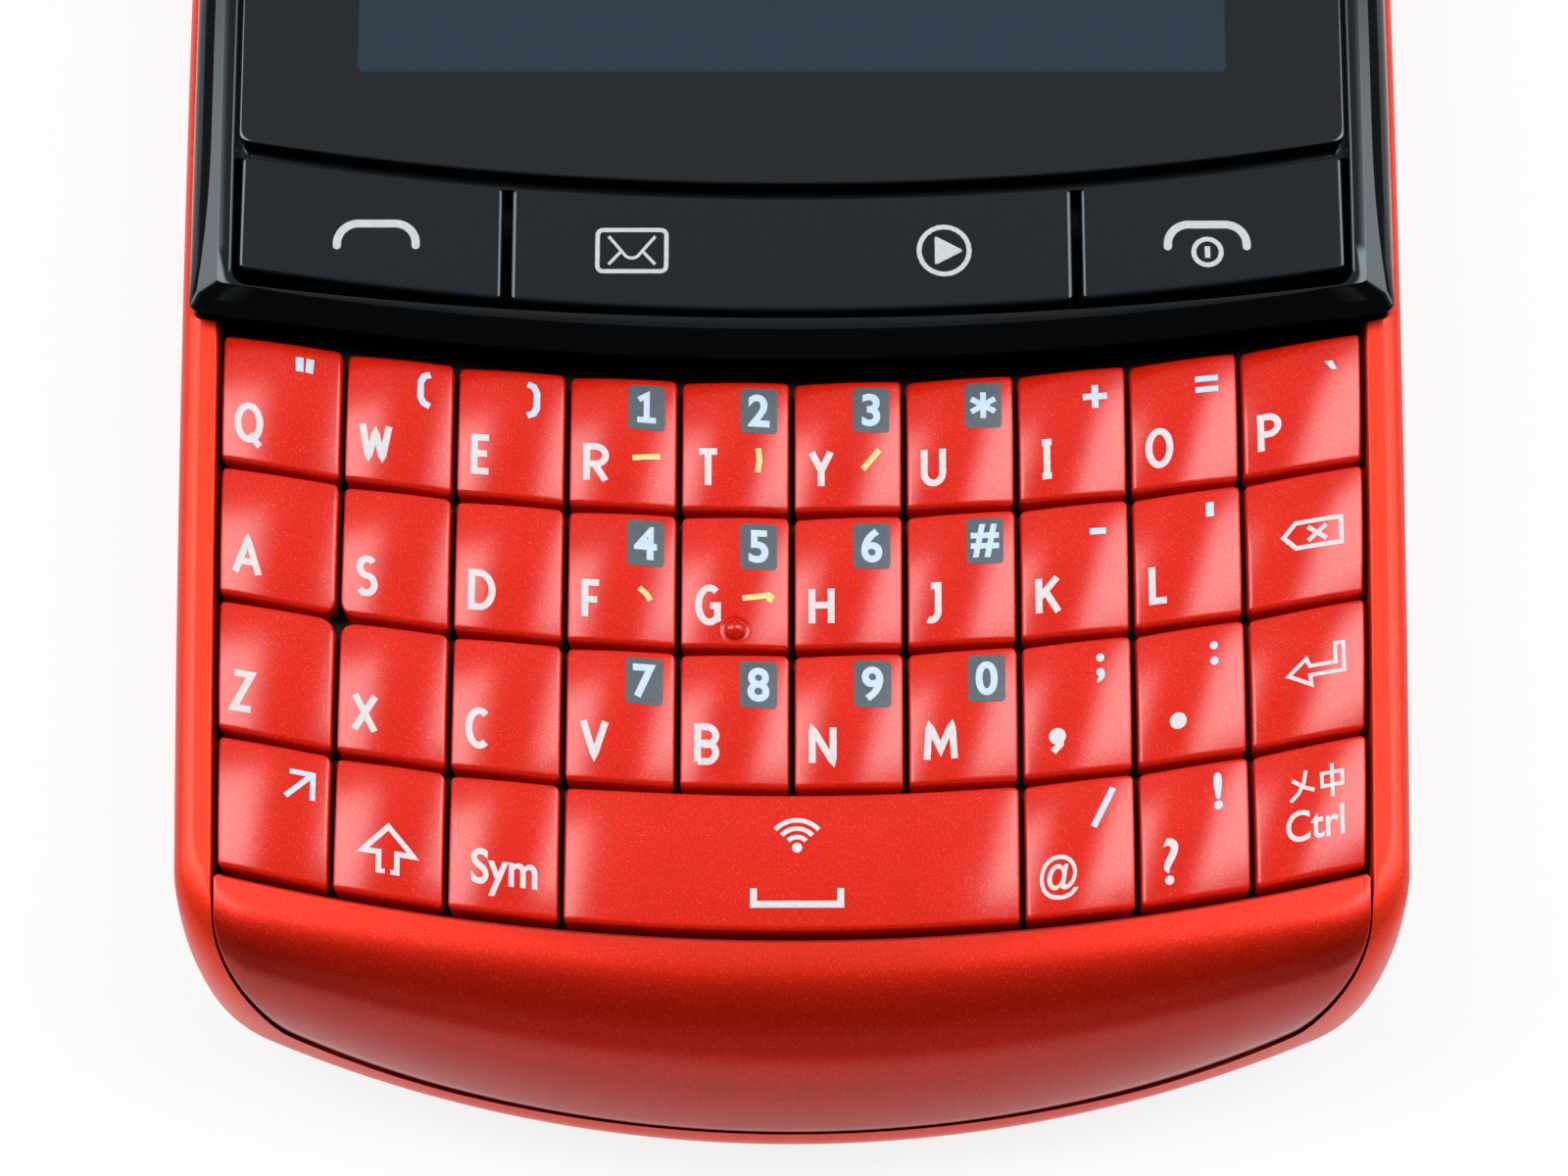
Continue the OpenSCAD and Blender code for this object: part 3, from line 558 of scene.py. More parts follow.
caps = {}
for r, names in enumerate(ROWS):
    for i, name in enumerate(names):
        first, last = (i, i + 1) if r < 3 else (LAST_EDGES[i], LAST_EDGES[i + 1])
        caps[name] = Cap(r, first, last)

NUB_R, NUB_H = 0.44, 0.34
for name, cap in caps.items():
    wide = name == "space"
    fine = name == "g"
    top = cap.grid(121 if wide else 97 if fine else 45, 121 if fine else 53, CUT_CORNERS.get(name))
    if fine:
        mid = sum(cap.sides(np.array(row_y(1)))) / 2
        away = np.hypot(top[..., 0] - mid, top[..., 1] - (row_edge(2, mid) + 1.1))
        top[..., 2] += NUB_H * np.sqrt(np.maximum(0, 1 - (away / NUB_R) ** 2))
        top[..., 2] -= 0.06 * np.exp(-(((away - NUB_R - 0.06) / 0.07) ** 2))
    points, faces = sheet_with_skirt(top, KEY_UNDER_Z)
    node = "key_" + name
    piece("cap_" + name, points, faces, key_red, node, "red_key", [node], 50.0)
print("keycaps:", len(caps))

# %% [markdown]
# ## Legends
# The legends are printed on the caps, so each one is a thin skin that follows its cap: every
# point takes the cap's height. Capitals, most signs and icons are ribbons: a line of points
# given a width. The digits and words come from Blender's built-in font, cut along a fine grid
# so that they can bend.


# %% Legend helpers
def text_shape(word, height, squeeze=0.8, weight=0.0):
    """Points and faces of a word, its lower left at the origin, capitals height tall."""
    curve = bpy.data.curves.new("word", "FONT")
    curve.body = word
    curve.offset = weight
    curve.resolution_u = 6
    shown = bpy.data.objects.new("word", curve)
    scene.collection.objects.link(shown)
    mesh = evaluated_mesh(shown)
    bpy.data.objects.remove(shown)
    work = bmesh.new()
    work.from_mesh(mesh)
    for axis, low, high in ((0, -0.2, 3.2), (1, -0.5, 1.2)):
        for cut in np.arange(low, high, 0.14):
            at, way = [0, 0, 0], [0, 0, 0]
            at[axis], way[axis] = cut, 1
            every = work.verts[:] + work.edges[:] + work.faces[:]
            bmesh.ops.bisect_plane(work, geom=every, plane_co=at, plane_no=way)
    bmesh.ops.remove_doubles(work, verts=work.verts, dist=1e-4)
    work.to_mesh(mesh)
    work.free()
    points = np.zeros(len(mesh.vertices) * 3)
    mesh.vertices.foreach_get("co", points)
    points = points.reshape(-1, 3)[:, :2] / 0.7 * height
    faces = [list(face.vertices) for face in mesh.polygons]
    bpy.data.meshes.remove(mesh)
    bpy.data.curves.remove(curve)
    points[:, 0] *= squeeze
    points[:, 0] -= points[:, 0].min()
    return points, faces


def ribbon(line, width, closed=False):
    """A line of points given a width: each point moves sideways along its mitre."""
    line = np.asarray(line, float)
    if closed:
        line = np.concatenate([line, line[:1]])
    fresh = np.hypot(*np.diff(line, axis=0).T) > 1e-6
    line = line[np.concatenate([[True], fresh])]
    step = np.hypot(*np.diff(line, axis=0).T)
    count = np.maximum(1, np.ceil(step / 0.18)).astype(int)
    parts = [
        a + (b - a) * np.arange(n)[:, None] / n for a, b, n in zip(line[:-1], line[1:], count)
    ]
    line = np.concatenate(parts if closed else parts + [line[-1:]])
    ahead = np.roll(line, -1, 0) - line
    back = line - np.roll(line, 1, 0)
    if not closed:
        ahead[-1], back[0] = back[-1], ahead[0]
    n1 = np.stack([-ahead[:, 1], ahead[:, 0]], -1) / np.hypot(*ahead.T)[:, None]
    n0 = np.stack([-back[:, 1], back[:, 0]], -1) / np.hypot(*back.T)[:, None]
    side = (n0 + n1) / np.maximum(0.35, 1 + (n0 * n1).sum(1))[:, None]
    across = np.linspace(-0.5, 0.5, 3) * width
    points = line[:, None, :] + across[None, :, None] * side[:, None, :]
    return points.reshape(-1, 2), grid_faces(len(line), 3, wrap_rows=closed).tolist()


def arc_line(cx, cy, radius, start, end, n=24):
    """Points along an arc, angles in degrees."""
    a = np.radians(np.linspace(start, end, n))
    return np.stack([cx + radius * np.cos(a), cy + radius * np.sin(a)], -1)


def disc(cx, cy, radius, n=24):
    """A filled dot: rings of points from its middle to its rim."""
    a = np.linspace(0, 2 * math.pi, n, endpoint=False)
    r = radius * np.array([1e-3, 0.5, 1.0])
    points = np.stack([cx + r[:, None] * np.cos(a), cy + r[:, None] * np.sin(a)], -1)
    return points.reshape(-1, 2), grid_faces(3, n, wrap_cols=True).tolist()


def tile(width, height, corner, n=9):
    """A filled rectangle with round corners: a square grid drawn in at its corners."""
    a, b = np.meshgrid(spread(n, 0.8), spread(n, 0.8), indexing="ij")
    u, v, *_ = round_corners(a, b, width / 2, height / 2, corner)
    return np.stack([u * width / 2, v * height / 2], -1).reshape(-1, 2), grid_faces(n, n).tolist()


def centred(shape, at=(0.0, 0.0)):
    """A shape moved so that the middle of its box is at a point."""
    points, faces = shape
    middle = (points.min(0) + points.max(0)) / 2
    return points - middle + np.asarray(at), faces


def moved(shape, at):
    """A shape moved by a distance."""
    return shape[0] + np.asarray(at), shape[1]


SKIN, LAYER, SKIN_T = 0.014, 0.003, 0.02


def print_legend(name, body, parts, surface, slope=0.0, at=(0.0, 0.0)):
    """Prints (ink, shape) parts: slopes their lines, sets them at a place, lays them on a surface.

    Each part lies a hair above the last, so parts that cross never share a height."""
    inks, laid, which = list(dict.fromkeys(ink for ink, _ in parts)), [], []
    for layer, (ink, (flat, faces)) in enumerate(parts):
        flat = flat @ np.array([[1.0, slope], [0.0, 1.0]]) + np.asarray(at)
        z = surface(flat[:, 0], flat[:, 1]) + (SKIN + LAYER * layer)
        laid.append((np.column_stack([flat, z]), faces))
        which += [inks.index(ink)] * len(faces)
    made = raw_object(name, *joined(laid), 60.0)
    normals = np.zeros(len(made.data.polygons) * 3, np.float32)
    made.data.polygons.foreach_get("normal", normals)
    down = np.flatnonzero(normals.reshape(-1, 3)[:, 2] < 0)
    work = bmesh.new()
    work.from_mesh(made.data)
    work.faces.ensure_lookup_table()
    bmesh.ops.reverse_faces(work, faces=[work.faces[i] for i in down])
    work.to_mesh(made.data)
    work.free()
    made.data.polygons.foreach_set("material_index", np.array(which, np.int32))
    made.data.polygons.foreach_set("use_smooth", np.zeros(len(which), bool))
    thick = made.modifiers.new("skin", "SOLIDIFY")
    thick.thickness, thick.offset = SKIN_T * MM, -1.0
    return dress(made, [INKS[ink] for ink in inks], body)


# %% [markdown]
# A letter stands at the lower left of its cap and a sign at the upper right. The number keys
# carry their digit on a grey tile, and five of them a short brush stroke as well.

# %% Key legends
SIGNS = dict(zip("qweiopkl", ['"', "(", ")", "+", "=", "`", "-", "'"]))
SIGNS.update(comma=";", period=":", at="/", question="!")
DIGITS = dict(zip("rtyufghjvbnm", "123*456#7890"))
LETTERS = dict(comma=",", period=".", at="@", question="?")
STROKES = {
    "r": [(-0.62, -0.09), (0.0, 0.0), (0.62, 0.06)],
    "t": [(-0.02, 0.55), (0.04, 0.0), (-0.04, -0.55)],
    "y": [(0.42, 0.5), (0.1, 0.1), (-0.32, -0.42)],
    "f": [(-0.26, 0.26), (0.05, 0.02), (0.24, -0.26)],
    "g": [(-0.66, -0.1), (0.0, 0.0), (0.52, 0.1), (0.62, 0.04), (0.5, -0.2)],
}


def key_place(cap, across, along, from_left=True):
    """A point so far in from the cap's left or right edge, and so far above its middle."""
    left, right = cap.sides(np.array(row_y(cap.row)))
    x = float(left + across) if from_left else float(right - across)
    low, high = cap.ends(np.array(x))
    return x, float((low + high) / 2 + along)


def key_slope(cap, x):
    """The slope of the row arcs at x, which the lines of the legends follow."""
    return x / math.sqrt(row_radius(cap.row) ** 2 - x * x)


def bow(cx, cy, rx, ry, start, end, n=16):
    """Points along an arc of an ellipse, angles in degrees."""
    a = np.radians(np.linspace(start, end, n))
    return list(zip(cx + rx * np.cos(a), cy + ry * np.sin(a)))


BOWL = [(0, 0), (0, 1), (0.45, 1), *bow(0.45, 0.74, 0.55, 0.26, 90, -90), (0.02, 0.48)]
LOW_BOWL = [(0.02, 0.53), (0.5, 0.53), *bow(0.5, 0.265, 0.5, 0.265, 90, -90), (0, 0)]
ROUND = bow(0.5, 0.5, 0.5, 0.5, 90, 450, 37)
S_LINE = bow(0.53, 0.755, 0.45, 0.245, 38, 255) + bow(0.5, 0.255, 0.5, 0.255, 75, -142)
LETTER_LINES = {
    "A": (1.35, [[(0, 0), (0.5, 1), (1, 0)], [(0.2, 0.34), (0.8, 0.34)]]),
    "B": (1.1, [BOWL[:-1] + [(0.02, 0.53)], LOW_BOWL]),
    "C": (1.05, [bow(0.62, 0.5, 0.62, 0.5, 52, 308)]),
    "D": (1.22, [[(0, 0), (0, 1), (0.35, 1), *bow(0.35, 0.5, 0.65, 0.5, 90, -90), (0, 0)]]),
    "E": (0.95, [[(1, 1), (0, 1), (0, 0), (1, 0)], [(0.02, 0.52), (0.88, 0.52)]]),
    "F": (0.92, [[(1, 1), (0, 1), (0, 0)], [(0.02, 0.5), (0.88, 0.5)]]),
    "G": (1.15, [[*bow(0.58, 0.5, 0.58, 0.5, 52, 300), (1, 0.1), (1, 0.48), (0.62, 0.48)]]),
    "H": (1.15, [[(0, 0), (0, 1)], [(1, 0), (1, 1)], [(0.02, 0.52), (0.98, 0.52)]]),
    "I": (0.72, [[(0.5, 0.03), (0.5, 0.97)], [(0, 1), (1, 1)], [(0, 0), (1, 0)]]),
    "J": (0.86, [[(0.45, 1), (1, 1), (1, 0.25), *bow(0.45, 0.25, 0.55, 0.25, 0, -118)]]),
    "K": (1.15, [[(0, 0), (0, 1)], [(0.95, 1), (0.06, 0.46)], [(0.34, 0.62), (1, 0)]]),
    "L": (0.93, [[(0, 1), (0, 0), (1, 0)]]),
    "M": (1.52, [[(0, 0), (0.09, 1), (0.5, 0.28), (0.91, 1), (1, 0)]]),
    "N": (1.22, [[(0, 0), (0, 1), (1, 0), (1, 1)]]),
    "O": (1.24, [ROUND]),
    "P": (1.08, [BOWL]),
    "Q": (1.3, [ROUND, [(0.56, 0.16), (1.02, -0.16)]]),
    "R": (1.15, [BOWL, [(0.45, 0.46), (1, 0)]]),
    "S": (1.02, [S_LINE]),
    "T": (1.1, [[(0, 1), (1, 1)], [(0.5, 0.97), (0.5, 0)]]),
    "U": (1.12, [[(0, 1), (0, 0.3), *bow(0.5, 0.3, 0.5, 0.3, 180, 360), (1, 1)]]),
    "V": (1.28, [[(0, 1), (0.5, 0), (1, 1)]]),
    "W": (1.5, [[(0, 1), (0.24, 0), (0.5, 0.84), (0.76, 0), (1, 1)]]),
    "X": (1.2, [[(0, 1), (1, 0)], [(0, 0), (1, 1)]]),
    "Y": (1.15, [[(0, 1), (0.5, 0.45), (1, 1)], [(0.5, 0.45), (0.5, 0)]]),
    "Z": (1.05, [[(0, 1), (1, 1), (0, 0), (1, 0)]]),
}
CAPITAL, PEN = 1.87, 0.3


def letter_parts(letter):
    """Ribbons of one capital: its unit lines stretched to its width, one pen wide."""
    width, lines = LETTER_LINES[letter]
    box = np.array([width - PEN, CAPITAL - PEN])
    parts = []
    for line in lines:
        closed = np.allclose(line[0], line[-1])
        track = np.asarray(line[:-1] if closed else line) * box + PEN / 2
        parts.append(ribbon(track, PEN, closed))
    return parts


BRACKET = [(0.32, 0.76), (0.04, 0.64), (-0.1, 0.36), (-0.1, -0.36), (0.04, -0.64), (0.32, -0.76)]
RAYS = [(0.62 * math.cos(t), 0.62 * math.sin(t)) for t in np.radians([90, 30, 150])]
SIGN_LINES = {
    '"': (0.35, [[(-0.56, 0.72), (-0.53, 0.04)], [(-0.07, 0.72), (-0.1, 0.04)]]),
    "'": (0.35, [[(0.0, 0.72), (-0.02, 0.04)]]),
    "(": (0.29, [BRACKET]),
    ")": (0.29, [[(-x, y) for x, y in BRACKET]]),
    "-": (0.3, [[(-0.36, 0.0), (0.36, 0.0)]]),
    "+": (0.3, [[(-0.55, 0.0), (0.55, 0.0)], [(0.0, -0.55), (0.0, 0.55)]]),
    "=": (0.27, [[(-0.52, 0.26), (0.52, 0.26)], [(-0.52, -0.26), (0.52, -0.26)]]),
    "/": (0.28, [[(-0.45, -0.85), (0.45, 0.85)]]),
    "*": (0.26, [[(-x, -y), (x, y)] for x, y in RAYS]),
    "1": (0.27, [[(-0.36, 0.36), (0.0, 0.58), (0.0, -0.6)], [(-0.42, -0.6), (0.42, -0.6)]]),
}
LETTER_IN, LETTER_UP, SIGN_IN, SIGN_UP, STROKE_DOWN = 0.62, -2.03, 1.36, 1.66, 2.35


def sign_parts(sign, at):
    """A sign centred at a point: short pen lines, or type."""
    if sign in SIGN_LINES:
        pen, lines = SIGN_LINES[sign]
        return [moved(ribbon(line, pen), at) for line in lines]
    return [centred(text_shape(sign, 1.55 if sign == "!" else 1.45, 0.95, 0.03), at)]


def mark_parts(mark):
    """A cap's main mark: the pen lines of a capital, dots, or type."""
    if mark in LETTER_LINES:
        return [moved(part, (0.25 if mark == "I" else 0.0, 0.0)) for part in letter_parts(mark)]
    if mark == ".":
        return [disc(1.15, 0.85, 0.37)]
    if mark == ",":
        return [disc(0.86, 0.78, 0.37), ribbon([(1.0, 0.72), (0.98, 0.4), (0.66, 0.1)], 0.3)]
    if mark == "@":
        return [centred(text_shape(mark, 1.45, 0.85, 0.01), (0.82, 0.78))]
    return [moved(text_shape(mark, 2.0, 0.95, 0.012), (0.35, -0.1))]


count = 0
for name, cap in caps.items():
    mark = name.upper() if len(name) == 1 else LETTERS.get(name)
    if not mark:
        continue
    x, y = key_place(cap, LETTER_IN, LETTER_UP)
    slope = key_slope(cap, x)
    parts = [("white", shape) for shape in mark_parts(mark)]
    sx, sy = key_place(cap, SIGN_IN, SIGN_UP, from_left=False)
    sign_at = np.array([sx - x, sy - y - slope * (sx - x)])
    if name in DIGITS:
        parts.append(("grey", centred(tile(1.65, 2.15, 0.2), sign_at)))
    if name in DIGITS or name in SIGNS:
        sign = DIGITS.get(name) or SIGNS[name]
        parts += [("blue", shape) for shape in sign_parts(sign, sign_at)]
    if name in STROKES:
        stroke = ribbon(STROKES[name], 0.25)
        parts.append(("yellow", centred(stroke, sign_at - [0.0, STROKE_DOWN])))
    print_legend("legend_" + name, "key_" + name, parts, cap.height, slope, (x, y))
    count += 1
print("letter legends:", count)

# %% [markdown]
# The control keys carry outline icons and two short words.

# %% Icon legends
LINE = 0.2
THIN, THICK = LINE * 0.8, LINE * 1.15


def icon(name, parts, across=0.0, along=0.0, ink="white"):
    """Prints ribbon parts round a point of a cap, measured from its middle."""
    cap = caps[name]
    left, right = cap.sides(np.array(row_y(cap.row)))
    x, y = key_place(cap, float(right - left) / 2 + across, along)
    shapes = [(ink, part) for part in parts]
    print_legend("legend_" + name, "key_" + name, shapes, cap.height, key_slope(cap, x), (x, y))


def pen_lines(pen, *lines):
    return [ribbon(line, pen) for line in lines]


back_tag = [(-1.3, 0), (-0.75, 0.58), (1.3, 0.58), (1.3, -0.58), (-0.75, -0.58)]
cross = pen_lines(LINE, [(-0.2, 0.32), (0.62, -0.32)], [(-0.2, -0.32), (0.62, 0.32)])
icon("backspace", [ribbon(back_tag, LINE, True), *cross], 0.3, 0.15)
enter = [(-1.25, -0.3), (-0.45, 0.36), (-0.3, 0.0), (0.85, 0.0), (0.85, 0.85), (1.22, 0.85)]
enter += [(1.22, -0.42), (-0.3, -0.42), (-0.25, -0.85)]
icon("enter", [ribbon(enter, LINE * 0.85, True)], 0.35, 0.3)
shift = [(-0.4, -1.05), (-0.4, -0.12), (-1.12, -0.12), (0.0, 1.05), (1.12, -0.12)]
shift += [(0.4, -0.12), (0.4, -1.05)]
feet = pen_lines(LINE, [(-0.52, -0.95), (-0.12, -0.95)], [(0.12, -0.95), (0.52, -0.95)])
icon("shift", [ribbon(shift, 0.24), *feet], 0.0, -0.85)
arrow_tip = [(-0.45, 0.6), (0.58, 0.6), (0.58, -0.55)]
icon("fn", pen_lines(THICK, [(-0.6, -0.55), (0.5, 0.55)], arrow_tip), 1.15, 1.35, "blue")
icon("sym", [centred(text_shape("Sym", 1.5, 0.84, 0.02), (0.05, 0.0))], 0.0, -1.2)
box = ribbon([(0.35, 1.0), (1.25, 1.0), (1.25, 0.42), (0.35, 0.42)], THIN, True)
strokes = pen_lines(
    THIN,
    [(0.8, 1.4), (0.8, -0.1)],
    [(-1.05, 0.0), (-0.7, 0.3), (-0.45, 0.75), (-0.35, 1.3)],
    [(-0.95, 0.95), (-0.45, 0.55), (0.0, 0.35)],
)
word = centred(text_shape("Ctrl", 1.35, 0.85, 0.012), (0.0, -1.15))
icon("ctrl", [word, box, *strokes], 0.15, 0.55)
arcs = pen_lines(LINE, *(arc_line(0, 0.62, r, 42, 138) for r in (0.52, 0.9, 1.28)))
bracket = ribbon([(-1.9, -1.15), (-1.9, -1.85), (1.9, -1.85), (1.9, -1.15)], 0.3)
icon("space", [disc(0, 0.66, 0.22), *arcs, bracket], 0.22)

# %% [markdown]
# ## Outlines of the body
# Every outline of the phone is a ring of touching arcs: the keyboard end, a corner, the bowed
# side, a corner and the earpiece end, then the same mirrored. A ring drawn in by different
# amounts at each height, and joined to the next, makes the body's rolled form.


# %% Rings
def meet(c1, r1, c2, r2, turn):
    """The point at distance r1 from c1 and r2 from c2, on the side that turn picks."""
    d = c2 - c1
    length = np.hypot(*d)
    u = d / length
    a = (r1 * r1 - r2 * r2 + length * length) / (2 * length)
    return c1 + a * u + turn * math.sqrt(r1 * r1 - a * a) * np.array([-u[1], u[0]])


def heading(v):
    return math.atan2(v[1], v[0])


def arc(centre, radius, start, end, n):
    """n points along an arc, leaving out its last."""
    a = start + (end - start) * np.arange(n) / n
    return centre + radius * np.stack([np.cos(a), np.sin(a)], -1)


COUNTS = (36, 14, 48, 18, 24)


def ring(side_in, low_y, low_r, low_c, top_in, top_c, counts=COUNTS):
    """A closed outline of arcs, anticlockwise from the middle of the keyboard end."""
    cs, rs = np.array([BODY_W / 2 - SIDE_R, 0.0]), SIDE_R - side_in
    cl = np.array([0.0, low_y + low_r])
    ct, rt = np.array([0.0, TOP_END - TOP_R]), TOP_R - top_in
    pl = meet(cl, low_r - low_c, cs, rs - low_c, 1)
    pt = meet(ct, rt - top_c, cs, rs - top_c, -1)
    al, at = heading(pl - cl), heading(pt - ct)
    sl, st = heading(pl - cs), heading(pt - cs)
    half = np.concatenate(
        [
            arc(cl, low_r, -math.pi / 2, al, counts[0]),
            arc(pl, low_c, al, sl, counts[1]),
            arc(cs, rs, sl, st, counts[2]),
            arc(pt, top_c, st, at, counts[3]),
            arc(ct, rt, at, math.pi / 2, counts[4]),
            [[0.0, ct[1] + rt]],
        ]
    )
    return np.concatenate([half, half[-2:0:-1] * [-1, 1]])


def roll(width, height, t):
    """How far an elliptic edge has drawn in at a distance t from its end."""
    share = np.clip(1 - t / height, 0, 1)
    return width * (1 - np.sqrt(np.maximum(0, 1 - share * share)))


def side_roll(z):
    return roll(RAIL_ROUND, RAIL_ROUND_H, DECK_Z - z) + roll(BACK_ROLL, BACK_RISE, z)


def chin_draw(z):
    """How far the chin has drawn in at a height: an elliptic roll that starts with a lean."""
    lean = CHIN_LEAN * np.maximum(0, z - WAIST_Z)
    return np.hypot(roll(CHIN_ROLL, DECK_Z - WAIST_Z, DECK_Z - z), lean)


def low_roll(z):
    return chin_draw(z) + roll(BACK_ROLL + 1, BACK_RISE, z)


def low_radius(z):
    """The keyboard end flattens as the chin draws in."""
    return END_R + END_FLATTEN * chin_draw(z) - roll(BACK_ROLL + 1, BACK_RISE, z)


def low_corner(z):
    """Its corners tighten at the same time."""
    return LOW_CORNER_R - CORNER_TIGHTEN * chin_draw(z)


def end_roll(z):
    return roll(TOP_ROLL, DECK_Z - WAIST_Z, DECK_Z - z) + roll(BACK_ROLL, BACK_RISE, z)


LEVELS = np.concatenate(
    [
        BACK_RISE * (1 - np.cos(np.radians(np.linspace(0, 90, 13)))),
        WAIST_Z + (DECK_Z - WAIST_Z) * np.sin(np.radians(np.linspace(0, 90, 31))),
    ]
)


def body_rings(skin=0.0, back_skin=0.0):
    """The outer form below the bezel, drawn in by skins: one ring for each height."""
    flat = [
        ring(
            side_roll(z) + skin,
            LOW_END + low_roll(z) + skin,
            low_radius(z) - skin,
            low_corner(z) - skin,
            end_roll(z) + skin,
            CORNER_R - skin,
        )
        for z in LEVELS
    ]
    z = back_skin + LEVELS / DECK_Z * (DECK_Z - back_skin)
    return stacked(flat, z)


def stacked(flat_rings, heights):
    """Flat rings at their heights, as one array of rings, points and axes."""
    flat = np.asarray(flat_rings)
    z = np.broadcast_to(np.asarray(heights)[:, None, None], flat.shape[:2] + (1,))
    return np.concatenate([flat, z], -1)


def loft(rings):
    """Faces through rings from the lowest to the highest, closed by two flat faces."""
    m, n = rings.shape[:2]
    faces = grid_faces(m, n, wrap_cols=True).tolist()
    return rings.reshape(-1, 3), faces + [list(range(n))[::-1], list(range((m - 1) * n, m * n))]


print("body rings:", body_rings().shape)

# %% [markdown]
# ## Cutting solids
# The shells have holes of many kinds: the keyboard well, sockets, slots for the side keys.
# Smooth solids are made first and then cut from each other with Boolean modifiers, which are
# applied at once so that only the finished mesh is left.


# %% Cutters
def block(low, high):
    """Points and faces of a box between two corners."""
    x, y, z = np.meshgrid(*zip(low, high), indexing="ij")
    points = np.stack([x, y, z], -1).reshape(-1, 3)
    sides = [[0, 1, 3, 2], [4, 6, 7, 5], [0, 4, 5, 1], [2, 3, 7, 6], [0, 2, 6, 4], [1, 5, 7, 3]]
    return points, sides


def rod(at, radius, length, axis="z", n=64):
    """A closed cylinder from a point along an axis."""
    a = np.linspace(0, 2 * math.pi, n, endpoint=False)
    circle = np.stack([radius * np.cos(a), radius * np.sin(a)], -1)
    points = stacked([circle, circle], [0.0, length])
    if axis == "y":
        points = points[..., [0, 2, 1]]
    return loft(points + np.asarray(at))


def carve(base, tools):
    """Joins or cuts solids in turn: tools are (operation, points and faces)."""
    for operation, shape in tools:
        tool = raw_object("tool", *shape) if isinstance(shape, tuple) else shape
        step = base.modifiers.new("step", "BOOLEAN")
        step.operation, step.solver, step.object = operation, "MANIFOLD", tool
        mesh = evaluated_mesh(base)
        base.modifiers.clear()
        base.data = mesh
        bpy.data.objects.remove(tool)
    return base


def cut(*shapes):
    return [("DIFFERENCE", shape) for shape in shapes]


def join(*shapes):
    return [("UNION", shape) for shape in shapes]


def above_curve(y, radius, low, high):
    """A wide drum whose lower edge in plan is the smiling arc through (0, y)."""
    return rod((0, y + radius, low), radius, high - low, n=720)


def pocket(rim=0.0, rail=0.0):
    """Outline of the hollow for the keyboard, widened into the rim and into the rails."""
    return ring(
        RAIL_W - rail,
        LOW_END + RIM_W - rim,
        END_R - RIM_W + rim,
        LOW_CORNER_R - 1.0,
        RAIL_W - rail,
        CORNER_R - 1.5,
    )


def slab(outline, low, high):
    """An outline raised from one height to another."""
    return loft(stacked([outline, outline], [low, high]))


print("cutters ready")

# %% [markdown]
# ## The red shells
# The rear housing is one moulding: rails along both sides, a thin rim round the keyboard end,
# and a hollow for the works. The battery cover is the skin of the same form below a straight
# parting line, so it is cut from the same rings with the same numbers.

# %% Rear housing
BACK_Z, FLOOR_Z, CHIN_FLOOR_Z, WELL_Z, WELL_TOP_Z = 1.02, 2.22, 4.2, 6.14, 6.94
COVER_T, COVER_ROOM, COVER_LIP, COVER_END = 0.9, 0.55, 3.2, TOP_END - 24.0
BATTERY_Y, BATTERY_W, BATTERY_L, BATTERY_T = -7.75, 37.0, 46.0, 5.0
SCREWS = [(BODY_W / 2 - 4.65, GLASS_LOW + 4.2), (BODY_W / 2 - 6.35, TOP_END - 8.75)]
SCREWS.append((12.0, float(row_edge(4, 12.0)) - 2.1))
SCREWS = [(side * x, y) for x, y in SCREWS for side in (-1, 1)]
SCREW_Z, CAMERA_Y, SPEAKER = 1.47, TOP_END - 15.5, (-14.5, TOP_END - 16.5)
SIDE_KEY_Z, VOLUME_Y, VOLUME_L, LOCK_Y, LOCK_L = 5.74, 26.0, 16.0, 40.0, 6.0


def rounded(width, height, radius, n=8):
    """Outline of a rectangle about the origin, each corner a quarter circle."""
    a = np.radians(np.linspace(0, 90, n))
    x, y = width / 2 - radius + radius * np.cos(a), height / 2 - radius + radius * np.sin(a)
    corner = np.stack([x, y], -1)
    turned = corner[::-1]
    return np.concatenate([corner, turned * [-1, 1], -corner, turned * [1, -1]])


def along_x(shape):
    """The same shape with its height turned to point along X."""
    return shape[0][:, [2, 0, 1]], shape[1]


def along_y(shape):
    """The same shape with its height turned to point along Y."""
    return shape[0][:, [0, 2, 1]], shape[1]


def pocket_cutter():
    """The keyboard's well; it widens where it meets the rim and the rail, to round them."""
    levels = [(CHIN_FLOOR_Z, 0, 0), (4.98, 0, 0), (5.08, 0.02, 0), (5.15, 0.05, 0), (5.2, 0.1, 0)]
    levels += [(11.84, 0.1, 0), (11.92, 0.1, 0.02), (11.97, 0.1, 0.06), (12.01, 0.1, 0.14)]
    levels.append((14.0, 0.1, 0.14))
    outlines = [pocket(rim, rail) for _, rim, rail in levels]
    return loft(stacked(outlines, [level[0] for level in levels]))


def finish_carved(made, crease=32.0):
    """Shades a cut solid: sharp edges stay, and large flat faces keep flat normals."""
    made.data.materials.clear()
    made.data.polygons.foreach_set("material_index", np.zeros(len(made.data.polygons), np.int32))
    settle(made.data, crease)
    even = made.modifiers.new("even_normals", "WEIGHTED_NORMAL")
    even.keep_sharp = True
    return made


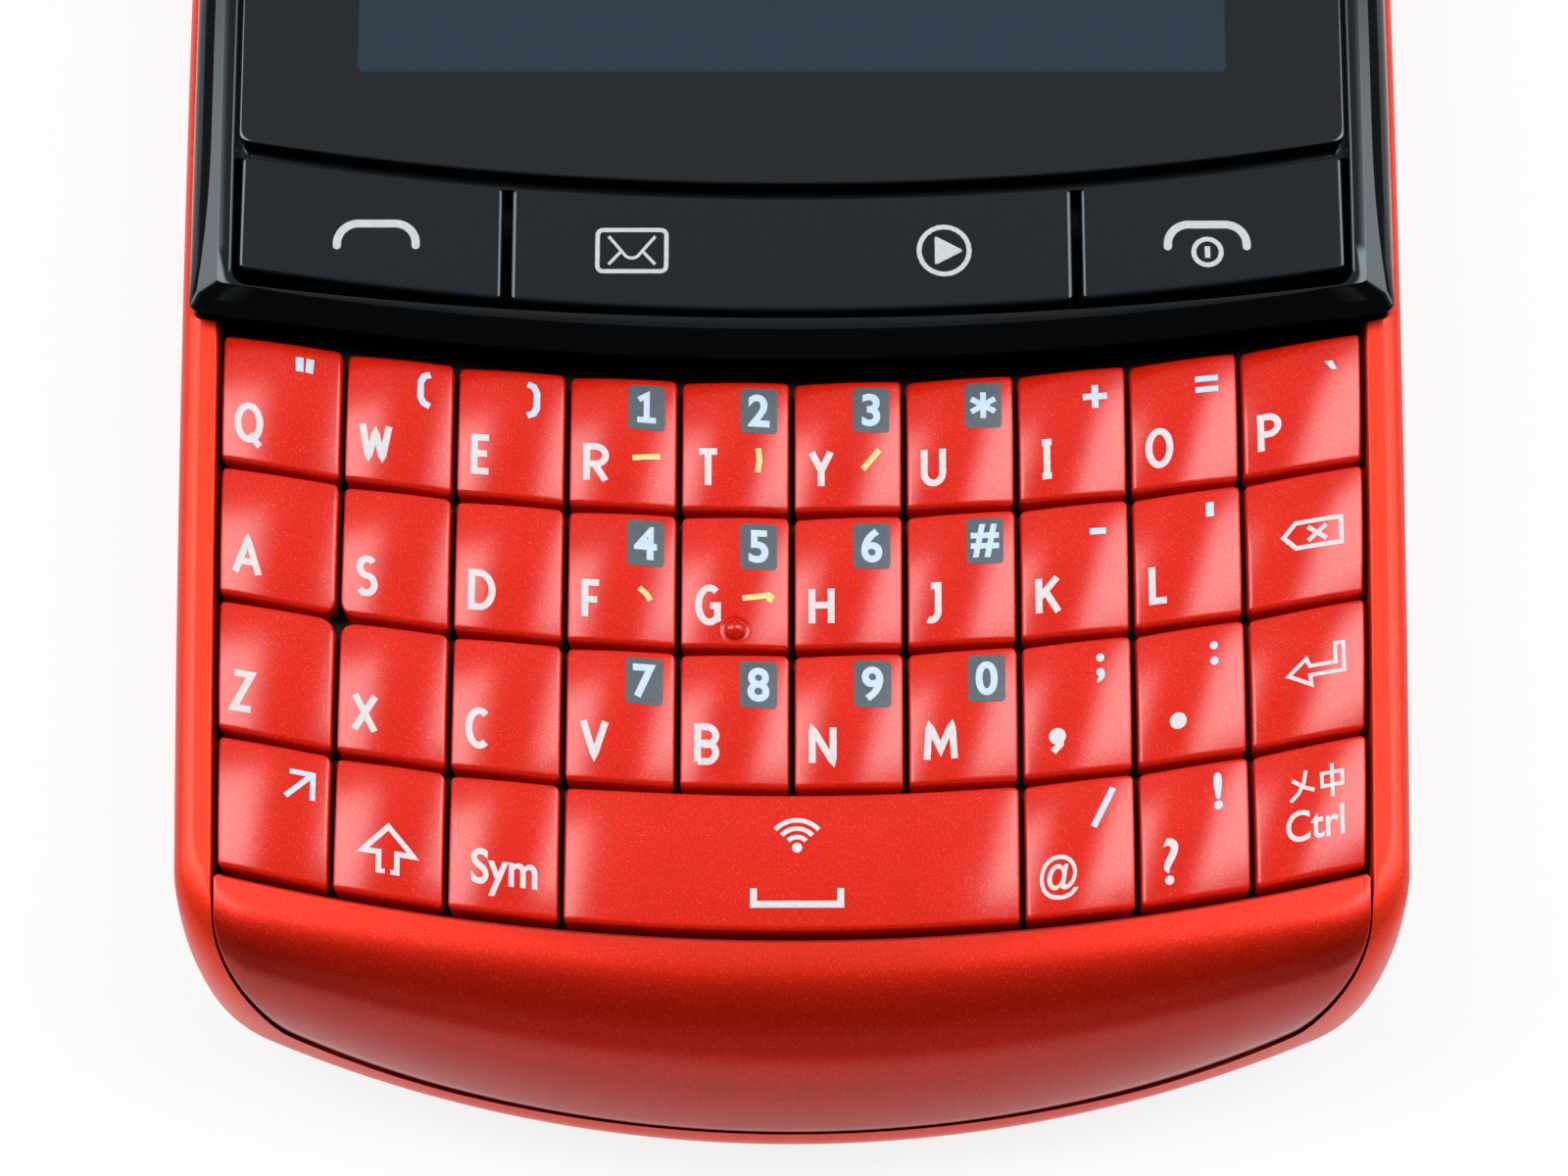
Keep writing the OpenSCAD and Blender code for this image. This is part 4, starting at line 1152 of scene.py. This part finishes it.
cover_room = carve(
    raw_object("tool", *block((-60, LOW_END - 5, -5), (60, COVER_END + FIT, COVER_LIP + FIT))),
    cut(loft(body_rings(COVER_T + COVER_ROOM, BACK_Z))),
)
works = ring(RAIL_W + 1.0, KB_LOW + 1.5, row_radius(4), 2.0, RAIL_W + 1, CORNER_R - 3)
well = rounded(BATTERY_W + 2.4, BATTERY_L + 2.4, 1.6) + [0, BATTERY_Y]
bay = rounded(BATTERY_W + 2 * FIT, BATTERY_L + 2 * FIT, 0.5) + [0, BATTERY_Y]
steps = cut(
    cover_room,
    above_curve(BEZEL_LOW - FIT, row_radius(0), BEZEL_Z, BEZEL_Z + 5),
    pocket_cutter(),
    slab(works, FLOOR_Z, 14.0),
)
steps += join(slab(well, BACK_Z, WELL_TOP_Z))
steps += join(*(rod((x, y, FLOOR_Z - 0.2), 1.6, 5.9) for x, y in SCREWS[:4]))
steps += cut(slab(bay, -1, WELL_Z))
for x, y in SCREWS:
    steps += cut(rod((x, y, -1), 0.82, 20, n=32), rod((x, y, -1), 1.42, 1 + SCREW_Z + 0.9, n=48))
steps += cut(rod((0, CAMERA_Y, -1), 4.32, 1 + BACK_Z), rod((0, CAMERA_Y, -1), 3.0, 8))
for i in range(-2, 3):
    slot = rounded(7.0, 0.8, 0.399) + [SPEAKER[0], SPEAKER[1] + 1.6 * i]
    steps += cut(slab(slot, -1, 5))
for x, z, radius in ((14, 5.39, 2.67), (-14, 5.84, 1.92)):
    steps += cut(rod((x, TOP_END - 8, z), radius, 20, "y"))
usb_hole = slab(rounded(7.94, 2.84, 0.6) + [-3.0, 6.64], TOP_END - 8, TOP_END + 12)
steps += cut(along_y(usb_hole))
for y, length in ((VOLUME_Y, VOLUME_L), (LOCK_Y, LOCK_L)):
    slot = rounded(length + 2 * FIT, 2.6 + 2 * FIT, 0.75) + [y, SIDE_KEY_Z]
    steps += cut(along_x(slab(slot, BODY_W / 2 - 4, BODY_W / 2 + 4)))
housing = carve(raw_object("shell_rear", *loft(body_rings())), steps)
dress(finish_carved(housing), shell_red, "phone", ["rear_housing"])
print("housing faces:", len(housing.data.polygons))

# %% Battery cover
lid = carve(
    raw_object("lid_battery", *loft(body_rings())),
    [
        ("INTERSECT", block((-60, LOW_END - 5, -5), (60, COVER_END, COVER_LIP))),
        ("DIFFERENCE", loft(body_rings(COVER_T, COVER_T))),
    ],
)
dress(finish_carved(lid), cover_red, "battery_cover", ["battery_cover"])
print("battery cover faces:", len(lid.data.polygons))

# %% [markdown]
# The chin is the red cap below the keyboard. Seen from above it is a crescent between the last
# row's arc and the seam at the rim; its height is that of the body's form, which rolls from
# the flat deck down to the waist. Each point's height is found by halving: the body's ring
# shrinks as it rises, so the highest ring that still holds the point gives the surface.


# %% Chin
def outside(x, y, z):
    """How far a point lies outside the body's ring at height z; negative is inside."""
    low_r, corner_r = low_radius(z), low_corner(z)
    clx, cly = 0.0, LOW_END + low_roll(z) + low_r
    csx, rs = BODY_W / 2 - SIDE_R, SIDE_R - side_roll(z)
    r1, r2, gap_x, gap_y = low_r - corner_r, rs - corner_r, csx - clx, -cly
    gap = np.hypot(gap_x, gap_y)
    along = (r1 * r1 - r2 * r2 + gap * gap) / (2 * gap)
    across = np.sqrt(r1 * r1 - along * along)
    px = clx + (along * gap_x - across * gap_y) / gap
    py = cly + (along * gap_y + across * gap_x) / gap
    ax = np.abs(x)
    end, rail = np.hypot(ax, y - cly) - low_r, np.hypot(ax - csx, y) - rs
    past_end = (ax - px) * (cly - py) + (y - py) * px > 0
    past_rail = (ax - px) * (0 - py) - (y - py) * (csx - px) < 0
    corner = np.hypot(ax - px, y - py) - corner_r
    in_corner = past_end & past_rail & (ax > px) & (y < py)
    return np.where(in_corner, corner, np.maximum(end, rail))


def form_height(x, y):
    """Height of the body's form at a point of its plan, by halving between waist and deck."""
    low, high = np.full(x.shape, WAIST_Z), np.full(x.shape, DECK_Z)
    for _ in range(40):
        middle = (low + high) / 2
        inside = outside(x, y, middle) <= 0
        low, high = np.where(inside, middle, low), np.where(inside, high, middle)
    return low


def even_steps(line, n):
    """n points at equal steps along a line of points."""
    reach = np.concatenate([[0], np.cumsum(np.hypot(*np.diff(line, axis=0).T))])
    at = np.linspace(0, reach[-1], n)
    return np.stack([np.interp(at, reach, line[:, 0]), np.interp(at, reach, line[:, 1])], -1)


def chin_top(x):
    """The chin's upper edge: the last row line less half a key gap."""
    return row_edge(4, x) - KEY_GAP / 2


N_ALONG, N_ACROSS, CHIN_T = 241, 49, 1.2
seam = pocket(-0.06, -0.06)
half = len(seam) // 2
seam = np.concatenate([seam[half:], seam[:half]])
below = np.flatnonzero(seam[:, 1] < chin_top(seam[:, 0]))
seam = seam[below[0] : below[-1] + 1]
tip = float(seam[0, 0])
tip_y = float(chin_top(tip))
seam = np.concatenate([[[tip, tip_y]], seam, [[-tip, tip_y]]])
low_edge = even_steps(seam, N_ALONG)
x = np.linspace(tip, -tip, 2001)
top_edge = even_steps(np.stack([x, chin_top(x)], -1), N_ALONG)
share = (1 + spread(N_ACROSS, 0.7)[None, :, None]) / 2
plan = top_edge[:, None] * (1 - share) + low_edge[:, None] * share
span = np.hypot(*(low_edge - top_edge).T)[:, None]
chin_z = form_height(plan[..., 0], plan[..., 1])
rounding = np.minimum(0.16, 0.45 * span + 1e-4)
top_z = chin_z - edge_drop(rounding, share[..., 0] * span)
top_z = top_z - edge_drop(rounding * 0.6, (1 - share[..., 0]) * span)
top_z = np.maximum(top_z, CHIN_FLOOR_Z + 0.2)
top = np.concatenate([plan, top_z[..., None]], -1)[1:-1]
under = top.copy()
under[..., 2] = np.maximum(under[..., 2] - CHIN_T, CHIN_FLOOR_Z + 0.06)
rows, cols = top.shape[:2]
rim, skin_faces = rim_index(rows, cols), grid_faces(rows, cols)
ahead = np.roll(rim, -1)
walls = np.stack([rim, ahead, ahead + rows * cols, rim + rows * cols], -1)
faces = np.concatenate([skin_faces[:, ::-1], skin_faces + rows * cols, walls])
points = np.concatenate([top.reshape(-1, 3), under.reshape(-1, 3)])
piece("cap_chin", points, faces, chin_red, "phone", "red_shell", ["chin_cover"], 40.0)
print("chin seam height at the middle:", round(float(chin_z[N_ALONG // 2, -1]), 2))

# %% [markdown]
# ## Black front
# The bezel is a glossy frame with a steep outer wall, a chamfer that catches the side light,
# a flat top and a small round lip. Its section is carried round the opening: each point of
# the section is a whole ring, and the rings join into a closed loop.
# Near the lower corners the chamfer widens outwards into a mitre, so those rings bulge there.

# %% Bezel
BEZEL_TOP = BEZEL_Z + BEZEL_H
BEZEL_LOW_R, BAR_LOW, BAR_R = 150.0, OPENING_LOW - 0.2, 190.0
SECTION = [
    (11.65, 0.5, 0.0, 0.0),
    (12.2, 0.5, 0.0, 0.0),
    (12.65, 0.54, 0.0, 0.04),
    (12.95, 0.66, 0.0, 0.2),
    (13.15, 0.82, 0.0, 0.45),
    (13.29, 0.99, 0.0, 0.7),
    (13.32, 1.03, 0.0, 0.74),
    (13.38, 1.11, 0.01, 0.8),
    (13.44, 1.19, 0.1, 0.86),
    (13.63, 1.445, 0.575, 0.98),
    (13.65, 1.475, 0.625, 1.0),
    (13.672, 1.515, 0.68, 1.0),
    (13.877, 1.87, 1.19, 0.02),
    (13.9, 1.92, 1.25, 0.0),
]


def bulge(outline, amount):
    """Moves the sides of an outline outwards, ever more towards its low corners."""
    rise = np.clip((-14.0 - outline[:, 1]) / 7.8, 0, 1)
    side = np.clip((np.abs(outline[:, 0]) - 23.0) / 1.5, 0, 1)
    out = amount * rise * rise * side
    return outline + np.stack([np.sign(outline[:, 0]) * out, 0 * out], -1), out


bezel_rings = []
for z, inset, slope, weight in SECTION:
    flat, out = bulge(
        ring(
            inset,
            BEZEL_LOW + slope,
            BEZEL_LOW_R,
            0.6 - 0.2 * slope,
            inset + TOP_ROLL - 0.3,
            CORNER_R - 0.5,
        ),
        0.62 * weight,
    )
    bezel_rings.append(np.column_stack([flat, z - 0.6 * out]))
for turn in np.radians([0, 22, 45, 68, 90]):
    back = 0.14 * (1 - math.sin(turn))
    flat = ring(
        OPENING_IN - back, BAR_LOW - back, BAR_R, 0.8, TOP_BAR - back * 0.5, CORNER_R - 2
    )
    bezel_rings.append(
        np.column_stack([flat, np.full(len(flat), BEZEL_TOP - 0.14 * (1 - math.cos(turn)))])
    )
flat = ring(OPENING_IN, BAR_LOW, BAR_R, 0.8, TOP_BAR, CORNER_R - 2)
bezel_rings.append(np.column_stack([flat, np.full(len(flat), BEZEL_Z)]))
bezel_rings = np.asarray(bezel_rings)
frame_faces = grid_faces(*bezel_rings.shape[:2], wrap_rows=True, wrap_cols=True).tolist()
bezel = raw_object("bezel_frame", bezel_rings.reshape(-1, 3), frame_faces)
ledge_line = ring(OPENING_IN - 0.05, OPENING_LOW, NAV_R, 0.8, TOP_BAR - 0.05, 6.5)
window_line = ring(OPENING_IN + 2, GLASS_LOW + 1.2, NAV_R, 1.0, TOP_BAR + 2, 5.5)
ledge = carve(
    raw_object("tool", *slab(ledge_line, BEZEL_Z + 0.01, GLASS_Z - 0.02)),
    [("INTERSECT", above_curve(NAV_TOP + 0.18, NAV_R, 10, 15)), *cut(slab(window_line, 10, 15))],
)
carve(bezel, join(ledge))
dress(finish_carved(bezel, 40.0), bezel_black, "phone", ["front_bezel"])
print("bezel faces:", len(bezel.data.polygons))

# %% [markdown]
# The touch glass is one sheet with a fine chamfer and a slot for the earpiece. Rings run from
# the outer edge to the slot, so the sheet closes on itself like a very flat tyre. The picture
# area is only a colour below the surface, so it belongs to the finish.

# %% Touch glass
EAR_Y, EAR_HALF, EAR_R = TOP_END - 9.0, 3.95, 0.55


def slot_towards(outline, grow=0.0):
    """The point of the earpiece slot's rim in the direction of each outline point."""
    away = outline - [0, EAR_Y]
    c, s = (away / np.hypot(*away.T)[:, None]).T
    r = EAR_R + grow
    flat_hit = r / np.maximum(1e-9, np.abs(s))
    round_hit = EAR_HALF * np.abs(c) + np.sqrt(np.maximum(0, r * r - (EAR_HALF * s) ** 2))
    reach = np.where(flat_hit * np.abs(c) <= EAR_HALF, flat_hit, round_hit)
    return np.stack([reach * c, reach * s + EAR_Y], -1)


def glass_ring(inset):
    """The glass outline, drawn in."""
    f = FIT + inset
    return ring(OPENING_IN + f, GLASS_LOW + inset, NAV_R, 0.6, TOP_BAR + f, CORNER_R - 2 - f)


TOP = GLASS_Z + GLASS_T
edge = glass_ring(0)
outlines = [edge, edge, glass_ring(0.03), glass_ring(0.1), glass_ring(0.13)]
outlines += [slot_towards(edge, grow) for grow in (0.13, 0.1, 0.03, 0.0, 0.0)]
heights = [GLASS_Z, TOP - 0.1, TOP - 0.03, TOP, TOP]
heights += heights[::-1]
rings = stacked(outlines, heights)
faces = grid_faces(*rings.shape[:2], wrap_rows=True, wrap_cols=True)
piece("screen_sheet", rings, faces, screen, "phone", "screen_glass", ["touch_glass"], 25.0)
print("glass rings:", rings.shape)

# %% [markdown]
# Three black keys make the strip below the screen: call, a rocker and end. They are flat and
# glossy, with fine chamfers that draw a light line at each gap.


# %% Navigation keys
def nav_edge(y, x):
    """The strip's arcs: both edges smile with the same radius."""
    return y + NAV_R - np.sqrt(NAV_R**2 - x * x)


def nav_grid(x0, x1, n_across, n_along):
    """A flat patch between the strip's arcs with round corners and a fine rolled edge."""
    a, b = np.meshgrid(spread(n_across, 0.9), spread(n_along, 0.9), indexing="ij")
    half_w, half_l = (x1 - x0) / 2, (NAV_TOP - NAV_LOW) / 2
    u, v, _, _, rim = round_corners(a, b, half_w, half_l, 0.3)
    x = (x0 + x1) / 2 + u * half_w
    y = nav_edge((NAV_LOW + NAV_TOP) / 2 + v * half_l, x)
    return np.stack([x, y, TOP - edge_drop(0.17, rim)], -1)


NAV_KEYS = {
    "call_key": (-NAV_HALF, -MENU_HALF - NAV_GAP),
    "menu_rocker": (-MENU_HALF, MENU_HALF),
    "end_key": (MENU_HALF + NAV_GAP, NAV_HALF),
}
for node, (x0, x1) in NAV_KEYS.items():
    points, faces = sheet_with_skirt(nav_grid(x0, x1, 71, 49), TOP - 1.2)
    piece("cap_" + node, points, faces, nav_black, node, "black_gloss", [node], 50.0)


def rounded_bar(width, drop, corner, thick):
    """A handset drawn as one bent bar: two legs, two quarter rounds and a straight back."""
    left = arc_line(-width / 2 + corner, -corner, corner, 180, 90, 14)
    right = arc_line(width / 2 - corner, -corner, corner, 90, 0, 14)
    line = np.concatenate([[(-width / 2, -drop)], left, right, [(width / 2, -drop)]])
    ends = [disc(-width / 2, -drop, thick / 2), disc(width / 2, -drop, thick / 2)]
    return [ribbon(line, thick), *ends]


def flat_top(x, y):
    return np.full(np.shape(x), TOP)


def nav_icon(name, body, shapes, at):
    """Prints silver shapes on the flat strip."""
    print_legend("legend_" + name, body, [("silver", shape) for shape in shapes], flat_top, 0.0, at)


ring_line = [arc_line(0, 0, r, 0, 345, 24) for r in (1.13, 0.62)]
frame_line = rounded(3.1, 1.98, 0.25, 5)
flap_line = np.concatenate([[(-1.05, 0.68)], arc_line(0, 0.06, 0.42, 228, 312, 8), [(1.05, 0.68)]])
nav_icon("call", "call_key", rounded_bar(3.55, 1.05, 0.95, 0.37), (-18.72, -18.1))
nav_icon(
    "menu",
    "menu_rocker",
    [moved(ribbon(frame_line, 0.2, True), (-7.2, 0)), moved(ribbon(flap_line, 0.14), (-7.2, 0))]
    + [moved(ribbon([(s * 1.05, -0.66), (s * 0.5, -0.06)], 0.14), (-7.2, 0)) for s in (-1, 1)]
    + [moved(ribbon(ring_line[0], 0.22, True), (6.86, 0))]
    + [moved(ribbon([(-0.36, y * 0.62), (0.78, 0.0)], 0.1), (6.86, 0)) for y in (-1, 1)]
    + [moved((np.array([(-0.42, -0.66), (0.82, 0), (-0.42, 0.66)]), [[0, 1, 2]]), (6.86, 0))],
    (0.0, -19.4),
)
nav_icon(
    "end",
    "end_key",
    rounded_bar(3.55, 1.05, 0.95, 0.37)
    + [moved(ribbon(ring_line[1], 0.22, True), (0, -1.32)), ribbon([(0, -1.05), (0, -1.6)], 0.24)],
    (18.72, -18.15),
)
print("navigation keys:", list(NAV_KEYS))

# %% [markdown]
# ## Side keys, camera, screws and battery
# The volume rocker and the lock key stand a little proud of the right side. Each is the same
# rolled pad as a keycap, turned to face sideways, and the rocker dips in its middle.


# %% Side keys
def side_pad(node, y, length, dip):
    """A rolled pad facing +X: its plan is in Y and Z, and its height is its reach in X."""
    face_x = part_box(node)[1].x / MM
    a, b = np.meshgrid(spread(61, 0.8), spread(31, 0.8), indexing="ij")
    half_w, half_h = length / 2, 1.3
    u, v, _, _, rim = round_corners(a, b, half_w, half_h, 0.7)
    py, pz = u * half_w, v * half_h
    out = face_x - edge_drop(0.3, rim) - dip * np.exp(-((py / 2.2) ** 2))
    points, faces = sheet_with_skirt(np.stack([py + y, pz + SIDE_KEY_Z, out], -1), face_x - 2.6)
    points = points[:, [2, 0, 1]]
    piece("pad_" + node, points, faces, side_red, node, "side_key", [node], 50.0)


side_pad("volume_rocker", VOLUME_Y, VOLUME_L, 0.14)
side_pad("lock_key", LOCK_Y, LOCK_L, 0.0)
print("side keys made")

# %% [markdown]
# Round pieces are turned on a lathe: a profile of radius and height goes once round its axis.
# The camera window has a small domed lens in a steel ring; the screw has a six-lobed recess,
# so its profile's radius swings with the angle there.


# %% Camera window and screws
LATHE_N = 72


def lathe(profile, at, n=LATHE_N, lobes=None):
    """Rings of a profile of (radius, height); lobes gives a swing of six waves to a radius."""
    a = np.linspace(0, 2 * math.pi, n, endpoint=False)
    r = np.array([p[0] for p in profile])[:, None]
    if lobes is not None:
        r = r * (1 + np.asarray(lobes)[:, None] * np.cos(6 * a))
    z = np.array([p[1] for p in profile])[:, None] + 0 * a
    points = np.stack([r * np.cos(a), r * np.sin(a), z], -1) + np.asarray(at)
    return points.reshape(-1, 3), grid_faces(len(profile), n, wrap_cols=True).tolist() + [
        list(range(n)),
        list(range((len(profile) - 1) * n, len(profile) * n)),
    ]


profile = [(1.5 * math.sin(t), 0.42 - 0.2 * math.cos(t)) for t in np.linspace(0.03, math.pi / 2, 9)]
profile += [(1.6, 0.5), (2.0, 0.5), (2.05, 0.2), (2.15, 0.14), (2.5, 0.14), (2.58, 0.2)]
profile += [(2.6, 0.24), (3.9, 0.24), (4.05, 0.26), (4.16, 0.34), (4.2, 0.46), (4.2, 1.0)]
shape = lathe(profile + [(0.02, 1.0)], (0, CAMERA_Y, 0))
glossy = [lens_black, steel]
window = piece("window_camera", *shape, glossy, "phone", "black_glass", ["camera_window"], 28.0)
lowest = np.array([min(face.vertices) // LATHE_N for face in window.data.polygons])
in_steel = ((lowest >= 10) & (lowest <= 14)).astype(np.int32)
window.data.polygons.foreach_set("material_index", in_steel)

TIP_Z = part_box("case_screws")[1].z / MM
profile = [(0.02, 2.0), (0.62, 2.0), (0.66, 1.6), (0.7, 1.5), (1.12, 1.47), (1.24, 1.53)]
profile += [(1.3, 1.65), (1.3, 2.35), (0.7, 2.37), (0.68, TIP_Z - 0.5), (0.3, TIP_Z), (0.02, TIP_Z)]
waves = [0, 0.16, 0.16, 0.16] + [0] * 8
screws = [lathe(profile, (x, y, 0), 48, waves) for x, y in SCREWS]
piece("screws_case", *joined(screws), steel, "phone", "steel", ["case_screws"], 30.0)
print("screws:", len(SCREWS))

# %% [markdown]
# The battery is a wrapped block with soft edges and three contacts at the end that faces the
# camera. It only shows once its cover has slid off.

# %% Battery
edge_turn = np.radians(np.linspace(0, 90, 6))
levels = [(0.5 * (1 - math.sin(t)), 0.5 * (1 - math.cos(t))) for t in edge_turn]
levels += [(inset, BATTERY_T - z) for inset, z in levels[::-1]]
outlines = [rounded(BATTERY_W - 2 * i, BATTERY_L - 2 * i, 1.0) + [0, BATTERY_Y] for i, _ in levels]
points, faces = loft(stacked(outlines, [BACK_Z + z for _, z in levels]))
piece("pack_battery", points, faces, wrap_grey, "phone", "battery_can", ["battery"], 50.0)
pads = []
for i in range(3):
    pad = slab(rounded(2.4, 1.6, 0.3) + [-6.0 + 3.6 * i, BACK_Z + 2.4], 0.0, 0.06)
    pads.append(moved(along_y(pad), (0, BATTERY_Y + BATTERY_L / 2 - 0.045, 0)))
piece("pack_contacts", *joined(pads), brass, "phone", "steel")
print("battery made")

# %% [markdown]
# What stays as plain CAD shape gets its finish here: sockets, loudspeaker, board and mat.

# %% Finishes of the other nodes
INSIDE = {
    "display_module": lens_black,
    "keypad_mat": silicone,
    "dome_sheet": steel,
    "circuit_board": board_green,
    "camera_module": plastic_black,
    "loudspeaker": plastic_black,
    "earpiece": plastic_black,
    "audio_jack": plastic_black,
    "charger_socket": plastic_black,
    "usb_socket": steel,
}
for name, finish in INSIDE.items():
    shown = nodes[name]
    shown.data.materials.clear()
    shown.data.materials.append(finish)
print("inside nodes dressed:", len(INSIDE))

# %% [markdown]
# ## Table and light
# The phone lies on a white table between two large soft boxes, one on each side, with a weaker
# light overhead and behind and little from the front. The boxes are painted into the world by
# direction, so the table is lit evenly and the reflections are as large as in a real studio.

# %% Table
floor = raw_object("table", *slab(rounded(9000, 9000, 100), -20, 0))
table_white, v = new_finish("table_white")
paper = noise(v, 900.0, 2.0)
white = mix_colour(v, paper, (0.74, 0.74, 0.74, 1.0), (0.77, 0.77, 0.77, 1.0))
matt = principled(v, {"Base Color": white, "Roughness": 0.9, "Specular IOR Level": 0.0})
plain = v.node("ShaderNodeEmission", None, {"Color": (1.0, 1.0, 1.0, 1.0), "Strength": 1.0})
rays = v.node("ShaderNodeLightPath").socket.node.outputs
seen = v.math("MAXIMUM", Value(v.tree, rays["Is Camera Ray"]), Value(v.tree, rays["Is Glossy Ray"]))
seen = v.math("MAXIMUM", seen, Value(v.tree, rays["Is Transmission Ray"]))
close_finish(v, mix_shader(v, seen * 0.85, matt, plain))
floor.data.materials.append(table_white)

# %% Studio light
world = bpy.data.worlds.new("studio")
scene.world = world
world.use_nodes = True
world.node_tree.nodes.clear()
v = Value(world.node_tree)
x, y, z = v.axes(v.node("ShaderNodeTexCoord", out="Generated"))
across = abs(x)
boxes = across.fade(0.13, 0.29) * (1 - abs(y - 0.2).fade(0.16, 0.25))
boxes = boxes * z.fade(0.19, 0.27)
front = (y * -1.0).fade(0.08, 0.24) * z.fade(0.35, 0.6)
sky = (0.12 + z.fade(0.2, 0.45) * 0.4) * (1 - front * 0.94) * (0.6 + y.fade(0.24, 0.36) * 0.4)
level = sky * (1 - boxes) + boxes * (7.8 - across.fade(0.45, 0.8) * 3.7)
horizon = 1 - z.fade(0.085, 0.115)
level = level * (1 - horizon) + horizon
light = v.node("ShaderNodeBackground", None, {"Color": (1.0, 1.0, 1.0, 1.0), "Strength": level})
v.node("ShaderNodeOutputWorld", None, {"Surface": light})
print("studio light set")
